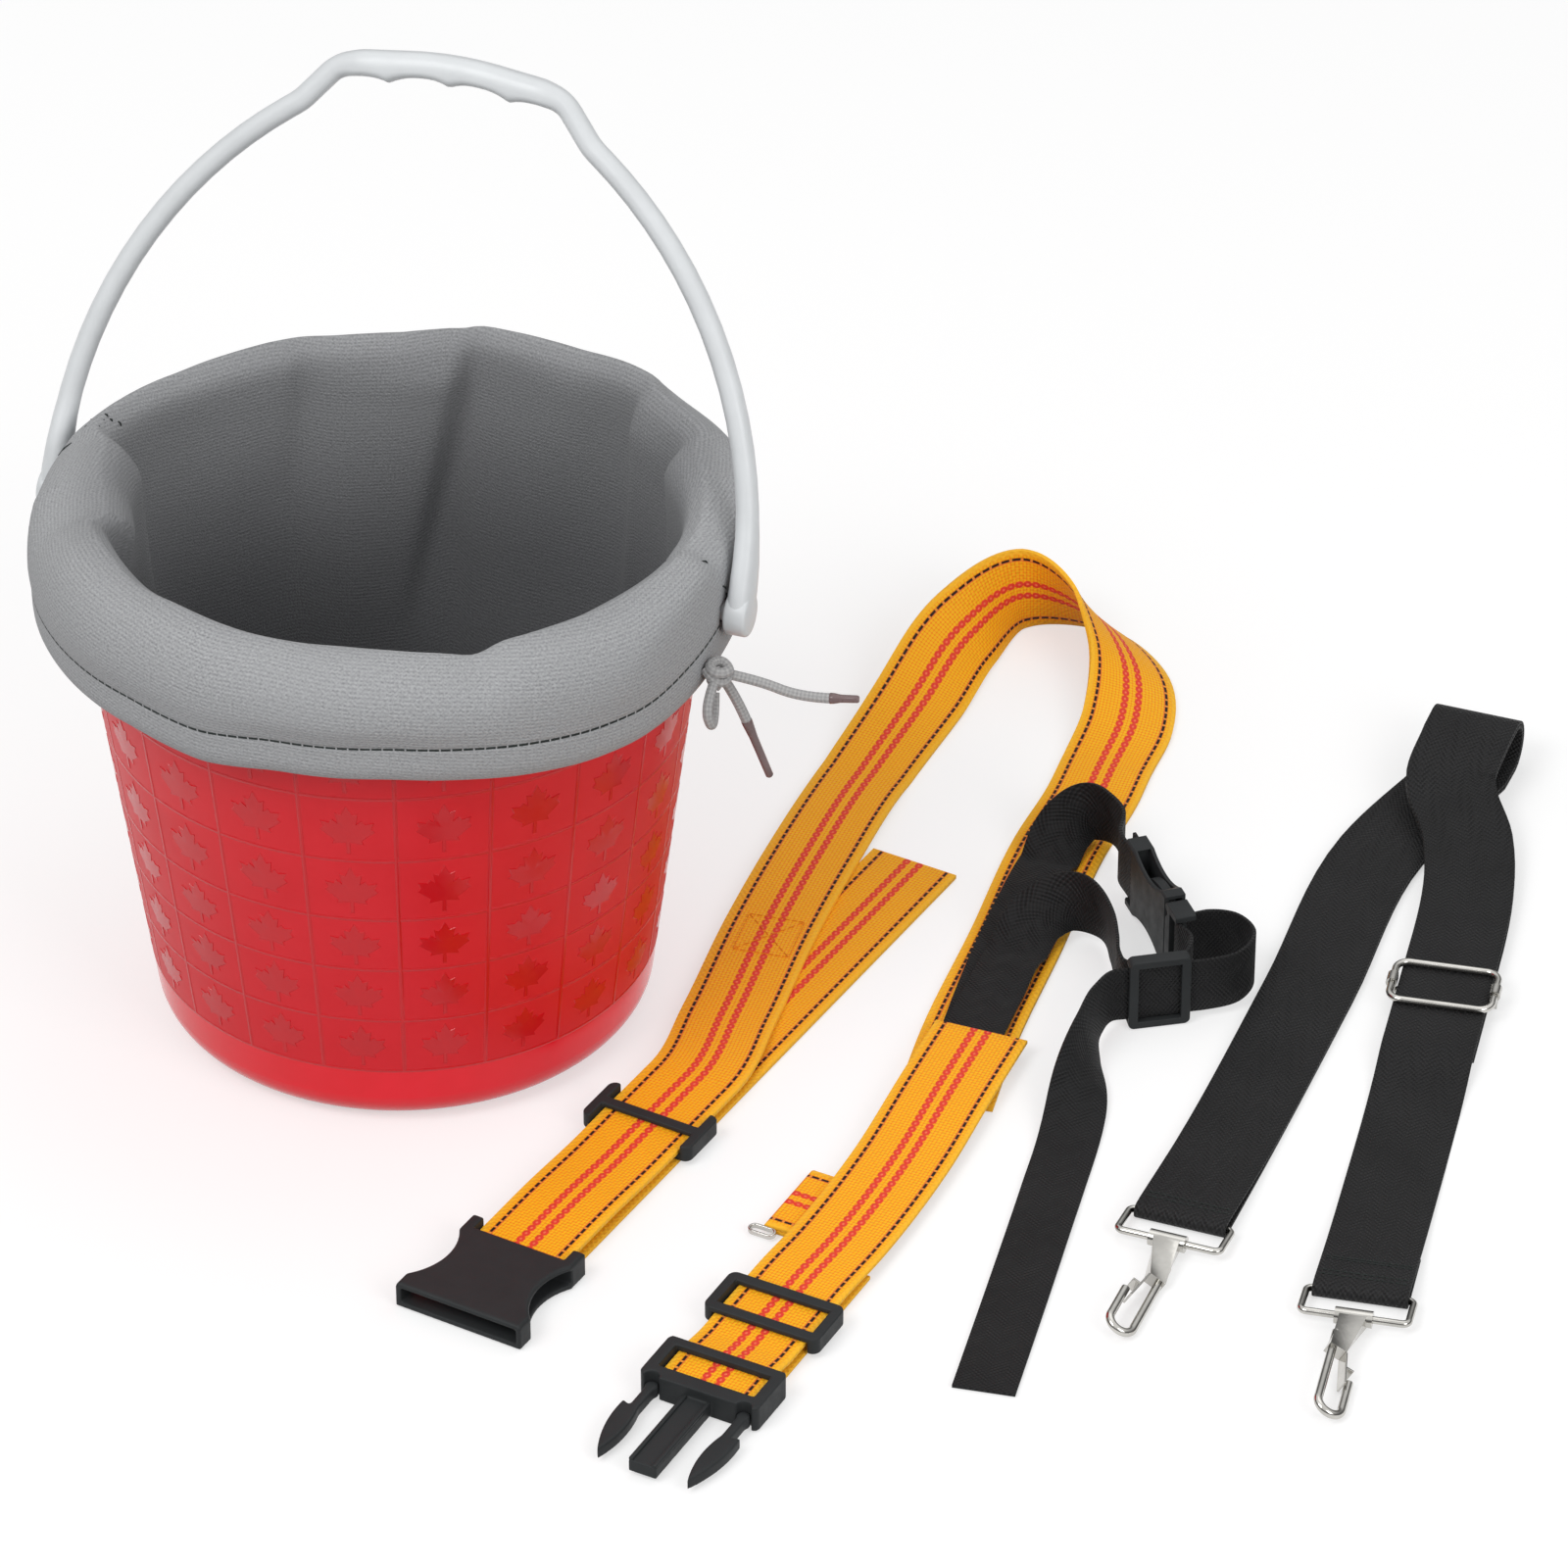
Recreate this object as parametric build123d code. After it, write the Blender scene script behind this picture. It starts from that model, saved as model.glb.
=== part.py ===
from build123d import *
import os
from math import asin, cos, degrees, radians, sin, sqrt, tan

# Harvest basket set: a lined bucket with a bail, a waist belt with a sling, and a shoulder strap.
# Millimetres, +Z up. The origin is the centre of the bucket's base, +Y points away from the viewer.
# The belt and the strap lie beside the bucket, on the floor that it stands on.

# Clearances
CLOTH_GAP = 0.4            # between the liner and the bucket
LAYER_GAP = 0.3            # between layers of webbing, or webbing and what it goes round
SIDE_GAP = 0.8             # beside the webbing in a slot
RUN_GAP = 0.3              # between parts that move past each other
PIVOT_GAP = 0.1            # between a pin and its bore
FIT_GAP = 0.02             # between a pin and the hole that it is fixed in

# Bucket
BUCKET_HEIGHT = 229.0
BASE_RADIUS = 100.5        # wall's outer radius at the floor, before the corner is rounded
COLLAR_RADIUS = 124.2      # wall's outer radius where the collar starts
RIM_RADIUS = 126.0
COLLAR_HEIGHT = 185.0
BUCKET_WALL = 2.2
BUCKET_FLOOR = 3.0
BASE_ROUND = 16.0
RIM_LIP = 3.5
RIM_LIP_DEPTH = 7.0

# Bail and its ears
BAIL_TURN = -18.5          # the bail's axis, turned about Z from +X
BAIL_LEAN = 24.5           # how far the bail leans back from upright at rest
PIVOT_HEIGHT = 210.0
BAIL_HALF_SPAN = 146.0     # from the bucket's axis to the middle of a leg
BAIL_ROD_RADIUS = 4.9
BAIL_LEG_STRAIGHT = 9.5    # from the pivot axis to where the leg starts to bend
BAIL_SHOULDER_RADIUS = 197.0
BAIL_SHOULDER_TURN = 53.5  # how far the leg bends over into the shoulder
BAIL_SHOULDER_RUN = 6.45   # from the end of that bend to the foot of the step beside the grip
STEP_ACROSS = 13.5
STEP_UP = 16.1
STEP_FOOT_RADIUS = 25.0
STEP_HEAD_RADIUS = 12.0
GRIP_CROWN = 5.7           # middle of the grip above the head of the step
GRIP_BEND_RADIUS = 150.0
GRIP_HALF_LENGTH = 43.0
GRIP_DEPTH = 13.0
GRIP_WIDTH = 13.0
FINGER_COUNT = 4
FINGER_DEPTH = 1.6
BAIL_BOSS_RADIUS = 9.0
BAIL_BOSS_LENGTH = 9.4
STUD_RADIUS = 4.0
STUD_LENGTH = 14.0
EAR_RADIUS = 6.8
EAR_REACH = 133.0          # from the bucket's axis to the ear's end

# Cloth liner, turned over the rim as a cuff
LINER_THICK = 2.4
CUFF_RADIUS = 147.0        # where the cuff bulges most
CUFF_BULGE_HEIGHT = 211.0
CUFF_RISE = 9.0            # crest of the fold above the rim
CUFF_JOIN_DROP = 14.0      # where the cuff goes on from the bag, below the rim
CUFF_BAIL_GAP = 0.6        # between the cuff and the space that the bail swings in
HEM_RADIUS = 140.4
HEM_DEPTH = 7.0
HEM_BOTTOM = 195.0
HEM_HEIGHT = 10.0
HEM_CLOTH = 1.2
SLIT_WIDTH = 12.0
SLIT_BOTTOM = 205.3

# Drawstring
CORD_RADIUS = 2.2
CORD_EXIT_ANGLE = -27.0    # where the cord leaves the hem, about Z from +X
CORD_EXIT_GAP = 8.0        # half the gap in the cord, in degrees
KNOT_RADIUS = 5.4
KNOT_HEIGHT = 195.5
AGLET_RADIUS = 1.7
AGLET_LONG = 10.0
AGLET_SHORT = 26.0
# Cord points from the knot's middle: outward, to the right and up
LONG_END = [(0, 0, 0), (14, 6, -3), (30, 12, -10), (43, 16, -9)]
SHORT_END = [(0, 0, 0), (5, 4, -10), (10, 6, -25)]
BOW_LOOP = [(0, 0, 0), (1, -9, -4), (3, -16, -11), (4, -11, -20), (0, -3, -8)]
CORD_BEND = 36.0
LOOP_BEND = 4.2

# Webbing
BELT_WIDTH = 40.0
BELT_THICK = 1.8
SLING_WIDTH = 25.0
SLING_THICK = 1.4
STRAP_WIDTH = 38.0
STRAP_THICK = 1.5

# Sliders on the belt and the sling
SLIDER_LENGTH = 25.0
SLIDER_BAR = 5.0           # a bar's size along the webbing
SLIDER_BAR_THICK = 2.5
SLIDER_RAIL = 4.5
SLING_SLIDER_LENGTH = 26.0
SLING_BAR = 4.0
SLING_BAR_THICK = 2.0
SLING_SLIDER_RAIL = 3.2

# Side-release buckle on the belt
BELT_BAR_RADIUS = 2.0
BELT_BUCKLE_RAIL = 5.0
BELT_BUCKLE_HEIGHT = 11.4
BELT_SOCKET_LENGTH = 50.0  # from the webbing bar to the mouth
BELT_SOCKET_WAIST = 42.0
BELT_SOCKET_MOUTH = 57.0
BELT_SOCKET_WALL = 2.2
BELT_MOUTH_DEPTH = 8.0
BELT_PLATE = 7.0           # the plug's cross plate, along the webbing
BELT_FRAME_REACH = 12.0    # from the plug's webbing bar to its frame bar
BELT_FRAME_BAR = 4.5
BELT_TONGUE_WIDTH = 12.0
BELT_TONGUE_LENGTH = 44.0
BELT_PRONG_SPREAD = 20.0   # from the middle to a prong's root
BELT_ARM_WIDTH = 4.0
BELT_ARM_LENGTH = 14.0
BELT_HEAD_LENGTH = 30.0
BELT_HEAD_WIDTH = 11.0
BELT_PRONG_THICK = 5.4

# Side-release buckle on the sling
SLING_BAR_RADIUS = 1.6
SLING_BUCKLE_RAIL = 3.2
SLING_BUCKLE_HEIGHT = 9.0
SLING_SOCKET_LENGTH = 44.0
SLING_SOCKET_WAIST = 27.0
SLING_SOCKET_MOUTH = 36.0
SLING_SOCKET_WALL = 1.6
SLING_MOUTH_DEPTH = 5.0
SLING_PLATE = 5.0
SLING_TONGUE_WIDTH = 6.0
SLING_TONGUE_LENGTH = 24.0
SLING_PRONG_SPREAD = 11.5
SLING_ARM_WIDTH = 2.4
SLING_ARM_LENGTH = 9.0
SLING_HEAD_LENGTH = 16.0
SLING_HEAD_WIDTH = 6.0
SLING_PRONG_THICK = 4.0
BUCKLE_CLOSE_GAP = 0.5     # between the mouth and the plug's plate

# Snap hooks and the slider of the shoulder strap
RING_WIRE = 1.5            # wire radii
RING_LENGTH = 17.0         # between the middles of the ring's two bars
RING_CORNER = 2.6
SLEEVE_RADIUS = 3.4
SLEEVE_LENGTH = 15.0
BODY_WIDTH = 11.0
BODY_END_WIDTH = 7.5
BODY_LENGTH = 25.0
BODY_THICK = 5.6
HOOK_WIRE = 1.8
HOOK_LENGTH = 62.0         # from the ring's bar to the end of the hook's bend
HOOK_OPENING = 10.5        # between the middles of shank and point
HOOK_POINT_LENGTH = 17.0
HOOK_SET_DEPTH = 11.0      # length of shank inside the body
HOOK_CANT = 30.0           # how far the hook's plane tilts, its left side up
GATE_WIDTH = 6.0
GATE_THICK = 0.9
GATE_LENGTH = 17.0
GATE_TAB = 4.0
FRAME_WIRE = 1.5
FRAME_LENGTH = 27.0
FRAME_CORNER = 5.5
MIDDLE_BAR_RADIUS = 1.3
COLLAR_LENGTH = 6.0
COLLAR_WALL = 0.9

# Layout. Routes are (x from the layout line, y), so that belt and strap keep clear of the bucket.
# A third number is the level of the webbing's lower side, a fourth its roll: 0 lies face up, 90
# stands on its right edge and 180 lies face down.
LAYOUT_X = BASE_RADIUS
ROLL_STEP = 2.5            # roll in degrees from one station to the next
BELT_SOCKET_BAR = (-46.5, -190.0)
BELT_SOCKET_TURN = 30.0    # headings, clockwise from +Y
BELT_SLIDER_REACH = 96.0   # from the socket's bar to the slider
BELT_TAIL_REACH = 314.0    # from the socket's bar to the tail's end
BELT_PLUG_BAR = (27.5, -276.0)
BELT_PLUG_TURN = 28.0
PLUG_SLIDER_REACH = 51.0
PLUG_RETURN_REACH = 94.0
TAB_REACH = 122.0          # from the plug's bar to the middle of the tab
TAB_OVERHANG = 10.0
TAB_LENGTH = 34.0
CLIP_WIRE = 1.1
BELT_LEFT_LEG = [(33, -30), (50, 32), (67, 84), (91, 150)]
BELT_LOOP = [(114, 200, 15), (135, 240, 50), (162, 266, 90), (189, 253, 125), (205, 222, 150),
             (204, 185, 170)]
BELT_RIGHT_LEG = [(195, 158), (187, 132), (172, 94), (152, 26), (131, -42), (120, -88)]
BELT_END_LEG = [(76, -186), (102, -132), (121, -84), (136, -46)]
SLING_UPPER = [(127, -62), (142, 0), (156, 48), (167, 80)]
SLING_UPPER_TURN = [(174, 94, 35), (183, 100, 68), (192, 95, 90), (198, 81, 90)]
SLING_LOWER = [(127, -62), (141, -18), (152, 12)]
SLING_LOWER_TURN = [(161, 28, 32), (174, 33, 64), (186, 24, 90), (191, 6, 90), (192.2, -10, 90),
                    (192.6, -22, 90), (194.4, -27.2, 90)]
SLING_SOCKET_BAR = (203.0, 52.0)
SLING_BUCKLE_TURN = 162.0  # heading from the socket's bar to its mouth
SLING_SLIDER = (208.5, -31.0)
SLING_SLIDER_TURN = 78.5
SLING_SOCKET_LEAD = (14.0, 3.0)        # rows before the socket's bar
SLING_PLUG_LEAD = [(11.0, 2.0), (3.0, 0.0)]    # rows before the plug's bar: along it, beside it
SLING_SLIDER_HOLD = (-9.0, 0.0, 8.0)   # rows behind the slider's bar
SLING_SLIDER_RUN = (20.0, 14.0, 0.0, -14.0, -19.0)     # rows through the slider
SLING_LOOP_LEAD = 3.0                  # row after the plug's bar
SLING_LOOP = [(231, 8), (241, 6), (248.5, -6), (242, -21)]
SLING_TAIL = [(183, -44, 95), (178.5, -62, 112), (172.5, -98, 168), (161, -150, 180), (147, -210, 180),
              (132, -273, 180)]
STRAP_RING_1 = (212.5, -168.0)
STRAP_TURN_1 = 21.2
STRAP_RING_2 = (280.5, -216.0)
STRAP_TURN_2 = 13.0
STRAP_SLIDER_REACH = 205.0
STRAP_SEWN_REACH = 30.0
STRAP_CREST = (355.5, 169.0)
STRAP_CREST_TURN = 21.0
STRAP_CREST_RADIUS = 11.5  # the outer layer's bend at the crest
STRAP_LEFT_LEG = [(272, -10), (308, 90)]
STRAP_RIGHT_LEG = [(335, 35), (344, 90)]

os.makedirs("parts", exist_ok=True)
UP = Vector(0, 0, 1)


def save(solid, name):
    """Write one node."""
    export_step(solid, f"parts/{name}.step")


def heading(turn):
    """Level direction at an angle clockwise from +Y."""
    return Vector(sin(radians(turn)), cos(radians(turn)), 0)


def rightward(direction):
    """Level direction to the right of another."""
    return Vector(direction.Y, -direction.X, 0)


def spot(point, height=0.0):
    """A layout point in space."""
    return Vector(LAYOUT_X + point[0], point[1], height)


def block(low, high):
    """Box between two corners."""
    size = [b - a for a, b in zip(low, high)]
    middle = [(a + b) / 2 for a, b in zip(low, high)]
    return Pos(*middle) * Box(*size)


def rod(radius, start, end):
    """Cylinder from one point to another."""
    start, end = Vector(*start), Vector(*end)
    reach = end - start
    return Plane(start + reach * 0.5, z_dir=reach) * Cylinder(radius, reach.length)


def tube(radius, path, name):
    """Round cord or wire along a path, with its volume printed beside section times length."""
    solid = sweep(Plane(path @ 0, z_dir=path % 0) * Circle(radius), path=path)
    expected = 3.14159 * radius ** 2 * path.length
    print(f"{name}: volume {solid.volume:.0f}, section times length {expected:.0f}")
    return solid


def flow(rows):
    """Rows along a smooth curve through the given rows, closer together where the roll changes."""
    last = len(rows) - 1
    gaps = []
    for a, b in zip(rows, rows[1:]):
        gaps.append(sqrt((b[0] - a[0]) ** 2 + (b[1] - a[1]) ** 2))
    slopes = []
    for i in range(last + 1):
        low, high = max(i - 1, 0), min(i, last - 1)
        before = [(b - a) / gaps[low] for a, b in zip(rows[low], rows[low + 1])]
        after = [(b - a) / gaps[high] for a, b in zip(rows[high], rows[high + 1])]
        share = gaps[high] / (gaps[low] + gaps[high])
        slopes.append([p * share + q * (1 - share) for p, q in zip(before, after)])
    curve = []
    for i in range(last):
        steps = max(4, round(abs(rows[i + 1][3] - rows[i][3]) / ROLL_STEP))
        for k in range(steps):
            u = k / steps
            curve.append([
                a * (1 + 2 * u) * (1 - u) ** 2 + b * u * u * (3 - 2 * u)
                + gaps[i] * (p * u * (1 - u) ** 2 - q * u * u * (1 - u))
                for a, b, p, q in zip(rows[i], rows[i + 1], slopes[i], slopes[i + 1])
            ])
    curve.append(list(rows[last]))
    return curve


def lay(rows, width, thick):
    """Stations of webbing along rows of x, y, level and roll, each a middle and a side direction."""
    curve = flow(rows)
    last = len(curve) - 1
    stations = []
    for i, (x, y, level, roll) in enumerate(curve):
        behind, ahead = curve[max(i - 1, 0)], curve[min(i + 1, last)]
        run = Vector(ahead[0] - behind[0], ahead[1] - behind[1], 0).normalized()
        turn = radians(roll)
        side = rightward(run) * cos(turn) - UP * sin(turn)
        height = level + abs(sin(turn)) * width / 2 + abs(cos(turn)) * thick / 2
        stations.append((spot((x, y), height), side))
    return stations


def bend(centre, toward, lift, radius, start=-90.0, steps=10):
    """Stations of a turn round a bar, from below it to above, with its bulge toward one side."""
    side = lift.cross(toward)
    stations = []
    for k in range(steps + 1):
        angle = radians(start + (90.0 - start) * k / steps)
        stations.append((centre + toward * (radius * cos(angle)) + lift * (radius * sin(angle)), side))
    return stations


def strip(stations, width, thick, name):
    """Webbing through its stations, with its volume printed beside section times length."""
    sections = []
    last = len(stations) - 1
    previous = stations[0][1]
    length = 0.0
    for i, (middle, side) in enumerate(stations):
        if side.dot(previous) < 0:
            side = side * -1
        previous = side
        run = stations[min(i + 1, last)][0] - stations[max(i - 1, 0)][0]
        run = run.normalized()
        edge = (side - run * side.dot(run)).normalized() * (width / 2)
        face = run.cross(edge).normalized() * (thick / 2)
        corners = [middle + edge + face, middle - edge + face, middle - edge - face, middle + edge - face]
        sections.append(Wire.make_polygon(corners, close=True))
        if i:
            length += (middle - stations[i - 1][0]).length
    solid = Solid.make_loft(sections, ruled=True)
    print(f"{name}: volume {solid.volume:.0f}, section times length {width * thick * length:.0f}")
    return solid


def straight(point, turn, reaches):
    """Route rows on a straight run: reach from a point, level; rolled flat."""
    along = heading(turn)
    return [(point[0] + along.X * s, point[1] + along.Y * s, level, 0) for s, level in reaches]


def flat_plane(point, turn, height):
    """Plane for a fitting that lies flat, its Y along a heading."""
    return Plane(spot(point, height), x_dir=rightward(heading(turn)), z_dir=UP)


# Bucket
def wall_radius(height):
    """Outer radius of the bucket's wall."""
    if height < COLLAR_HEIGHT:
        return BASE_RADIUS + (COLLAR_RADIUS - BASE_RADIUS) * height / COLLAR_HEIGHT
    share = (height - COLLAR_HEIGHT) / (BUCKET_HEIGHT - COLLAR_HEIGHT)
    return COLLAR_RADIUS + (RIM_RADIUS - COLLAR_RADIUS) * share


def tub(inset, bottom, top, corner):
    """Solid of the bucket's form, drawn in from its outer face."""
    outline = Polyline(
        (0, bottom), (wall_radius(bottom) - inset, bottom), (COLLAR_RADIUS - inset, COLLAR_HEIGHT),
        (wall_radius(top) - inset, top), (0, top), close=True,
    )
    face = make_face(outline)
    corners = face.vertices().sort_by(Axis.Y)[:2]
    face = fillet(corners.sort_by(Axis.X)[-1], corner)
    return revolve(Plane.XZ * face, Axis.Z)


bail_axis = Vector(cos(radians(BAIL_TURN)), sin(radians(BAIL_TURN)), 0)
pivot = Vector(0, 0, PIVOT_HEIGHT)
lip = Pos(0, 0, BUCKET_HEIGHT - RIM_LIP_DEPTH / 2) * Cylinder(RIM_RADIUS + RIM_LIP, RIM_LIP_DEPTH)
bucket = tub(0, 0, BUCKET_HEIGHT, BASE_ROUND) + lip
bucket += rod(EAR_RADIUS, pivot - bail_axis * EAR_REACH, pivot + bail_axis * EAR_REACH)
bucket -= tub(BUCKET_WALL, BUCKET_FLOOR, BUCKET_HEIGHT + 1, BASE_ROUND - BUCKET_WALL)
stud_face = BAIL_HALF_SPAN - BAIL_BOSS_LENGTH / 2
stud_end = stud_face - STUD_LENGTH
for way in (-1, 1):
    bore_start = pivot + bail_axis * (way * (stud_end - 0.8))
    bucket -= rod(STUD_RADIUS + PIVOT_GAP, bore_start, pivot + bail_axis * (way * (EAR_REACH + 1)))
save(bucket, "bucket_shell")

# Bail, drawn upright in a plane along its axis and then leaned back
shoulder_reach = BAIL_SHOULDER_RADIUS * tan(radians(BAIL_SHOULDER_TURN / 2))
shoulder_height = BAIL_LEG_STRAIGHT + shoulder_reach
shoulder_run = shoulder_reach + BAIL_SHOULDER_RUN
step_foot_x = BAIL_HALF_SPAN - shoulder_run * sin(radians(BAIL_SHOULDER_TURN))
step_foot_height = shoulder_height + shoulder_run * cos(radians(BAIL_SHOULDER_TURN))
step_head_x = step_foot_x - STEP_ACROSS
step_head_height = step_foot_height + STEP_UP
bail_rise = step_head_height + GRIP_CROWN
apex = (0.0, bail_rise)
half = [(BAIL_HALF_SPAN, 0.0), (BAIL_HALF_SPAN, shoulder_height)]
half += [(step_foot_x, step_foot_height), (step_head_x, step_head_height)]
mirrored = [(-x, h) for x, h in reversed(half)]
bends = [BAIL_SHOULDER_RADIUS, STEP_FOOT_RADIUS, STEP_HEAD_RADIUS]
bail_line = FilletPolyline(*half, apex, *mirrored, radius=bends + [GRIP_BEND_RADIUS] + bends[::-1])
bail = tube(BAIL_ROD_RADIUS, Plane.XZ * bail_line, "bail_handle")
grip_end = bail_rise - GRIP_CROWN * GRIP_HALF_LENGTH / step_head_x
grip_top = ThreePointArc(
    (-GRIP_HALF_LENGTH, grip_end + GRIP_DEPTH / 2), (0, bail_rise + GRIP_DEPTH / 2 - 1),
    (GRIP_HALF_LENGTH, grip_end + GRIP_DEPTH / 2),
)
pitch = 2 * GRIP_HALF_LENGTH / FINGER_COUNT


def grip_under(x):
    """Height of the ridges between the fingers."""
    drop = (bail_rise - grip_end) * (x / GRIP_HALF_LENGTH) ** 2
    return bail_rise - drop - GRIP_DEPTH / 2


fingers = []
for k in range(FINGER_COUNT):
    x0 = GRIP_HALF_LENGTH - k * pitch
    x1 = x0 - pitch
    middle_x = (x0 + x1) / 2
    fingers.append(ThreePointArc(
        (x0, grip_under(x0)), (middle_x, grip_under(middle_x) + FINGER_DEPTH), (x1, grip_under(x1)),
    ))
grip_ends = [
    Line((GRIP_HALF_LENGTH, grip_end + GRIP_DEPTH / 2), (GRIP_HALF_LENGTH, grip_under(GRIP_HALF_LENGTH))),
    Line((-GRIP_HALF_LENGTH, grip_under(-GRIP_HALF_LENGTH)), (-GRIP_HALF_LENGTH, grip_end + GRIP_DEPTH / 2)),
]
grip_face = make_face(Curve() + [grip_top, *grip_ends, *fingers])
bail += extrude(Plane.XZ * grip_face, GRIP_WIDTH / 2, both=True)
for way in (-1, 1):
    inner, outer = way * stud_face, way * (stud_face + BAIL_BOSS_LENGTH)
    bail += rod(BAIL_BOSS_RADIUS, (inner, 0, 0), (outer, 0, 0))
    bail += rod(STUD_RADIUS, (way * stud_end, 0, 0), (outer, 0, 0))
save(Pos(0, 0, PIVOT_HEIGHT) * Rot(0, 0, BAIL_TURN) * Rot(-BAIL_LEAN, 0, 0) * bail, "bail_handle")

# Liner: the bag inside the bucket, and the cuff that goes on from it over the rim
join_height = BUCKET_HEIGHT - CUFF_JOIN_DROP
bag_inset = BUCKET_WALL + CLOTH_GAP
bag = tub(bag_inset, BUCKET_FLOOR + CLOTH_GAP, join_height, BASE_ROUND - bag_inset)
hollow_inset = bag_inset + LINER_THICK
bag -= tub(hollow_inset, BUCKET_FLOOR + CLOTH_GAP + LINER_THICK, join_height + 1, BASE_ROUND - hollow_inset)
save(bag, "liner_bag")

hem_top = HEM_BOTTOM + HEM_HEIGHT
crest_height = BUCKET_HEIGHT + CUFF_RISE
bag_face = wall_radius(join_height) - bag_inset
rim_face = RIM_RADIUS - bag_inset


def cuff_line(inset):
    """The cuff's section from the bag over the rim to the hem, drawn in from its outer face."""
    rise = crest_height - inset
    return Spline(
        (bag_face - LINER_THICK + inset, join_height),
        (rim_face - LINER_THICK + inset, BUCKET_HEIGHT + 0.5),
        (RIM_RADIUS + 2.5, rise),
        ((RIM_RADIUS + CUFF_RADIUS) / 2 + 3 - inset * 0.7, rise - 5.5 + inset * 0.3),
        (CUFF_RADIUS - inset, CUFF_BULGE_HEIGHT),
        (HEM_RADIUS - inset, hem_top),
        tangents=[(0, 1), (-0.75, -0.66)],
    )


def turned(line, closing):
    """Solid turned from a section line that is closed by straight runs."""
    face = make_face(Curve() + [line, Polyline(*closing)])
    return revolve(Plane.XZ * face, Axis.Z)


def bail_room(gap):
    """The space inside the bail at every angle that it swings to, drawn in by a gap."""
    bend_radius = BAIL_SHOULDER_RADIUS - BAIL_ROD_RADIUS - gap
    widest = BAIL_HALF_SPAN - BAIL_ROD_RADIUS - gap
    reach = 0.8 * bend_radius
    sides = []
    for way in (-1, 1):
        start = (way * widest, BAIL_LEG_STRAIGHT)
        middle = (way * (widest - bend_radius + sqrt(0.84) * bend_radius), BAIL_LEG_STRAIGHT + 0.5 * reach)
        end = (way * (widest - 0.4 * bend_radius), BAIL_LEG_STRAIGHT + reach)
        sides.append(ThreePointArc(start, middle, end))
    foot = Polyline((-widest, BAIL_LEG_STRAIGHT), (-widest, 0), (widest, 0), (widest, BAIL_LEG_STRAIGHT))
    face = make_face(Curve() + [*sides, foot, Line(sides[0] @ 1, sides[1] @ 1)])
    return Pos(0, 0, PIVOT_HEIGHT) * turn_to_axis * revolve(face, Axis.X)


turn_to_axis = Rot(0, 0, BAIL_TURN)
outer_start, inner_start = (bag_face - LINER_THICK, join_height), (bag_face, join_height)
outer_end, inner_end = (HEM_RADIUS, hem_top), (HEM_RADIUS - LINER_THICK, hem_top)
outer_form = turned(cuff_line(0), [outer_end, inner_end, inner_start, outer_start])
inner_form = turned(cuff_line(LINER_THICK), [inner_end, inner_start])
outer_form &= bail_room(CUFF_BAIL_GAP)
inner_form &= bail_room(CUFF_BAIL_GAP + LINER_THICK)
cuff = outer_form - inner_form
for way in (-1, 1):
    slit = block((RIM_RADIUS + 5, -SLIT_WIDTH / 2, SLIT_BOTTOM), (CUFF_RADIUS, SLIT_WIDTH / 2, crest_height + 1))
    cuff -= turn_to_axis * Rot(0, 0, 90 - 90 * way) * slit
hem_middle = HEM_BOTTOM + HEM_HEIGHT / 2
hem = Pos(0, 0, hem_middle) * (Cylinder(HEM_RADIUS, HEM_HEIGHT) - Cylinder(HEM_RADIUS - HEM_DEPTH, HEM_HEIGHT))
channel_height = HEM_HEIGHT - 2 * HEM_CLOTH
hem -= Pos(0, 0, hem_middle) * (
    Cylinder(HEM_RADIUS - HEM_CLOTH, channel_height)
    - Cylinder(HEM_RADIUS - HEM_DEPTH + HEM_CLOTH, channel_height)
)
cuff += hem
save(cuff, "liner_cuff")

# Drawstring: the cord in the hem, the knot where it comes out, its two ends and a loop
ring_radius = HEM_RADIUS - HEM_DEPTH / 2
ring_section = Plane.XZ * Pos(ring_radius, hem_middle) * Circle(CORD_RADIUS)
cord_ring = revolve(ring_section, Axis.Z, 360 - 2 * CORD_EXIT_GAP)
save(Rot(0, 0, CORD_EXIT_ANGLE + CORD_EXIT_GAP) * cord_ring, "drawstring_in_hem")
knot_radius_out = HEM_RADIUS + KNOT_RADIUS + FIT_GAP
exit_way = Vector(cos(radians(CORD_EXIT_ANGLE)), sin(radians(CORD_EXIT_ANGLE)), 0)
knot_at = exit_way * knot_radius_out + UP * KNOT_HEIGHT
knot_room = Pos(*knot_at) * Sphere(KNOT_RADIUS + FIT_GAP)
save(Pos(*knot_at) * Sphere(KNOT_RADIUS), "drawstring_knot")


def cord_points(rows):
    """Cord points in space from rows of outward, rightward and up."""
    beside = UP.cross(exit_way)
    return [knot_at + exit_way * a + beside * b + UP * c for a, b, c in rows]


def cord_line(points, limit):
    """Straight runs joined by arcs as large as the runs allow, up to a limit."""
    radii = []
    for before, corner, after in zip(points, points[1:], points[2:]):
        a, b = before - corner, after - corner
        turn = 180 - a.get_angle(b)
        room = 0.45 * min(a.length, b.length)
        radii.append(min(limit, room / tan(radians(turn / 2))))
    print("cord bends:", " ".join(f"{r:.1f}" for r in radii))
    return FilletPolyline(*points, radius=radii)


def cord_end(rows, aglet_length, name):
    """A cord's end from the knot and the aglet on its tip."""
    points = cord_points(rows)
    tip_way = (points[-1] - points[-2]).normalized()
    cord = tube(CORD_RADIUS, cord_line(points, CORD_BEND), f"drawstring_{name}")
    save(cord - knot_room, f"drawstring_{name}")
    save(rod(AGLET_RADIUS, points[-1], points[-1] + tip_way * aglet_length), f"aglet_{name}")


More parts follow.
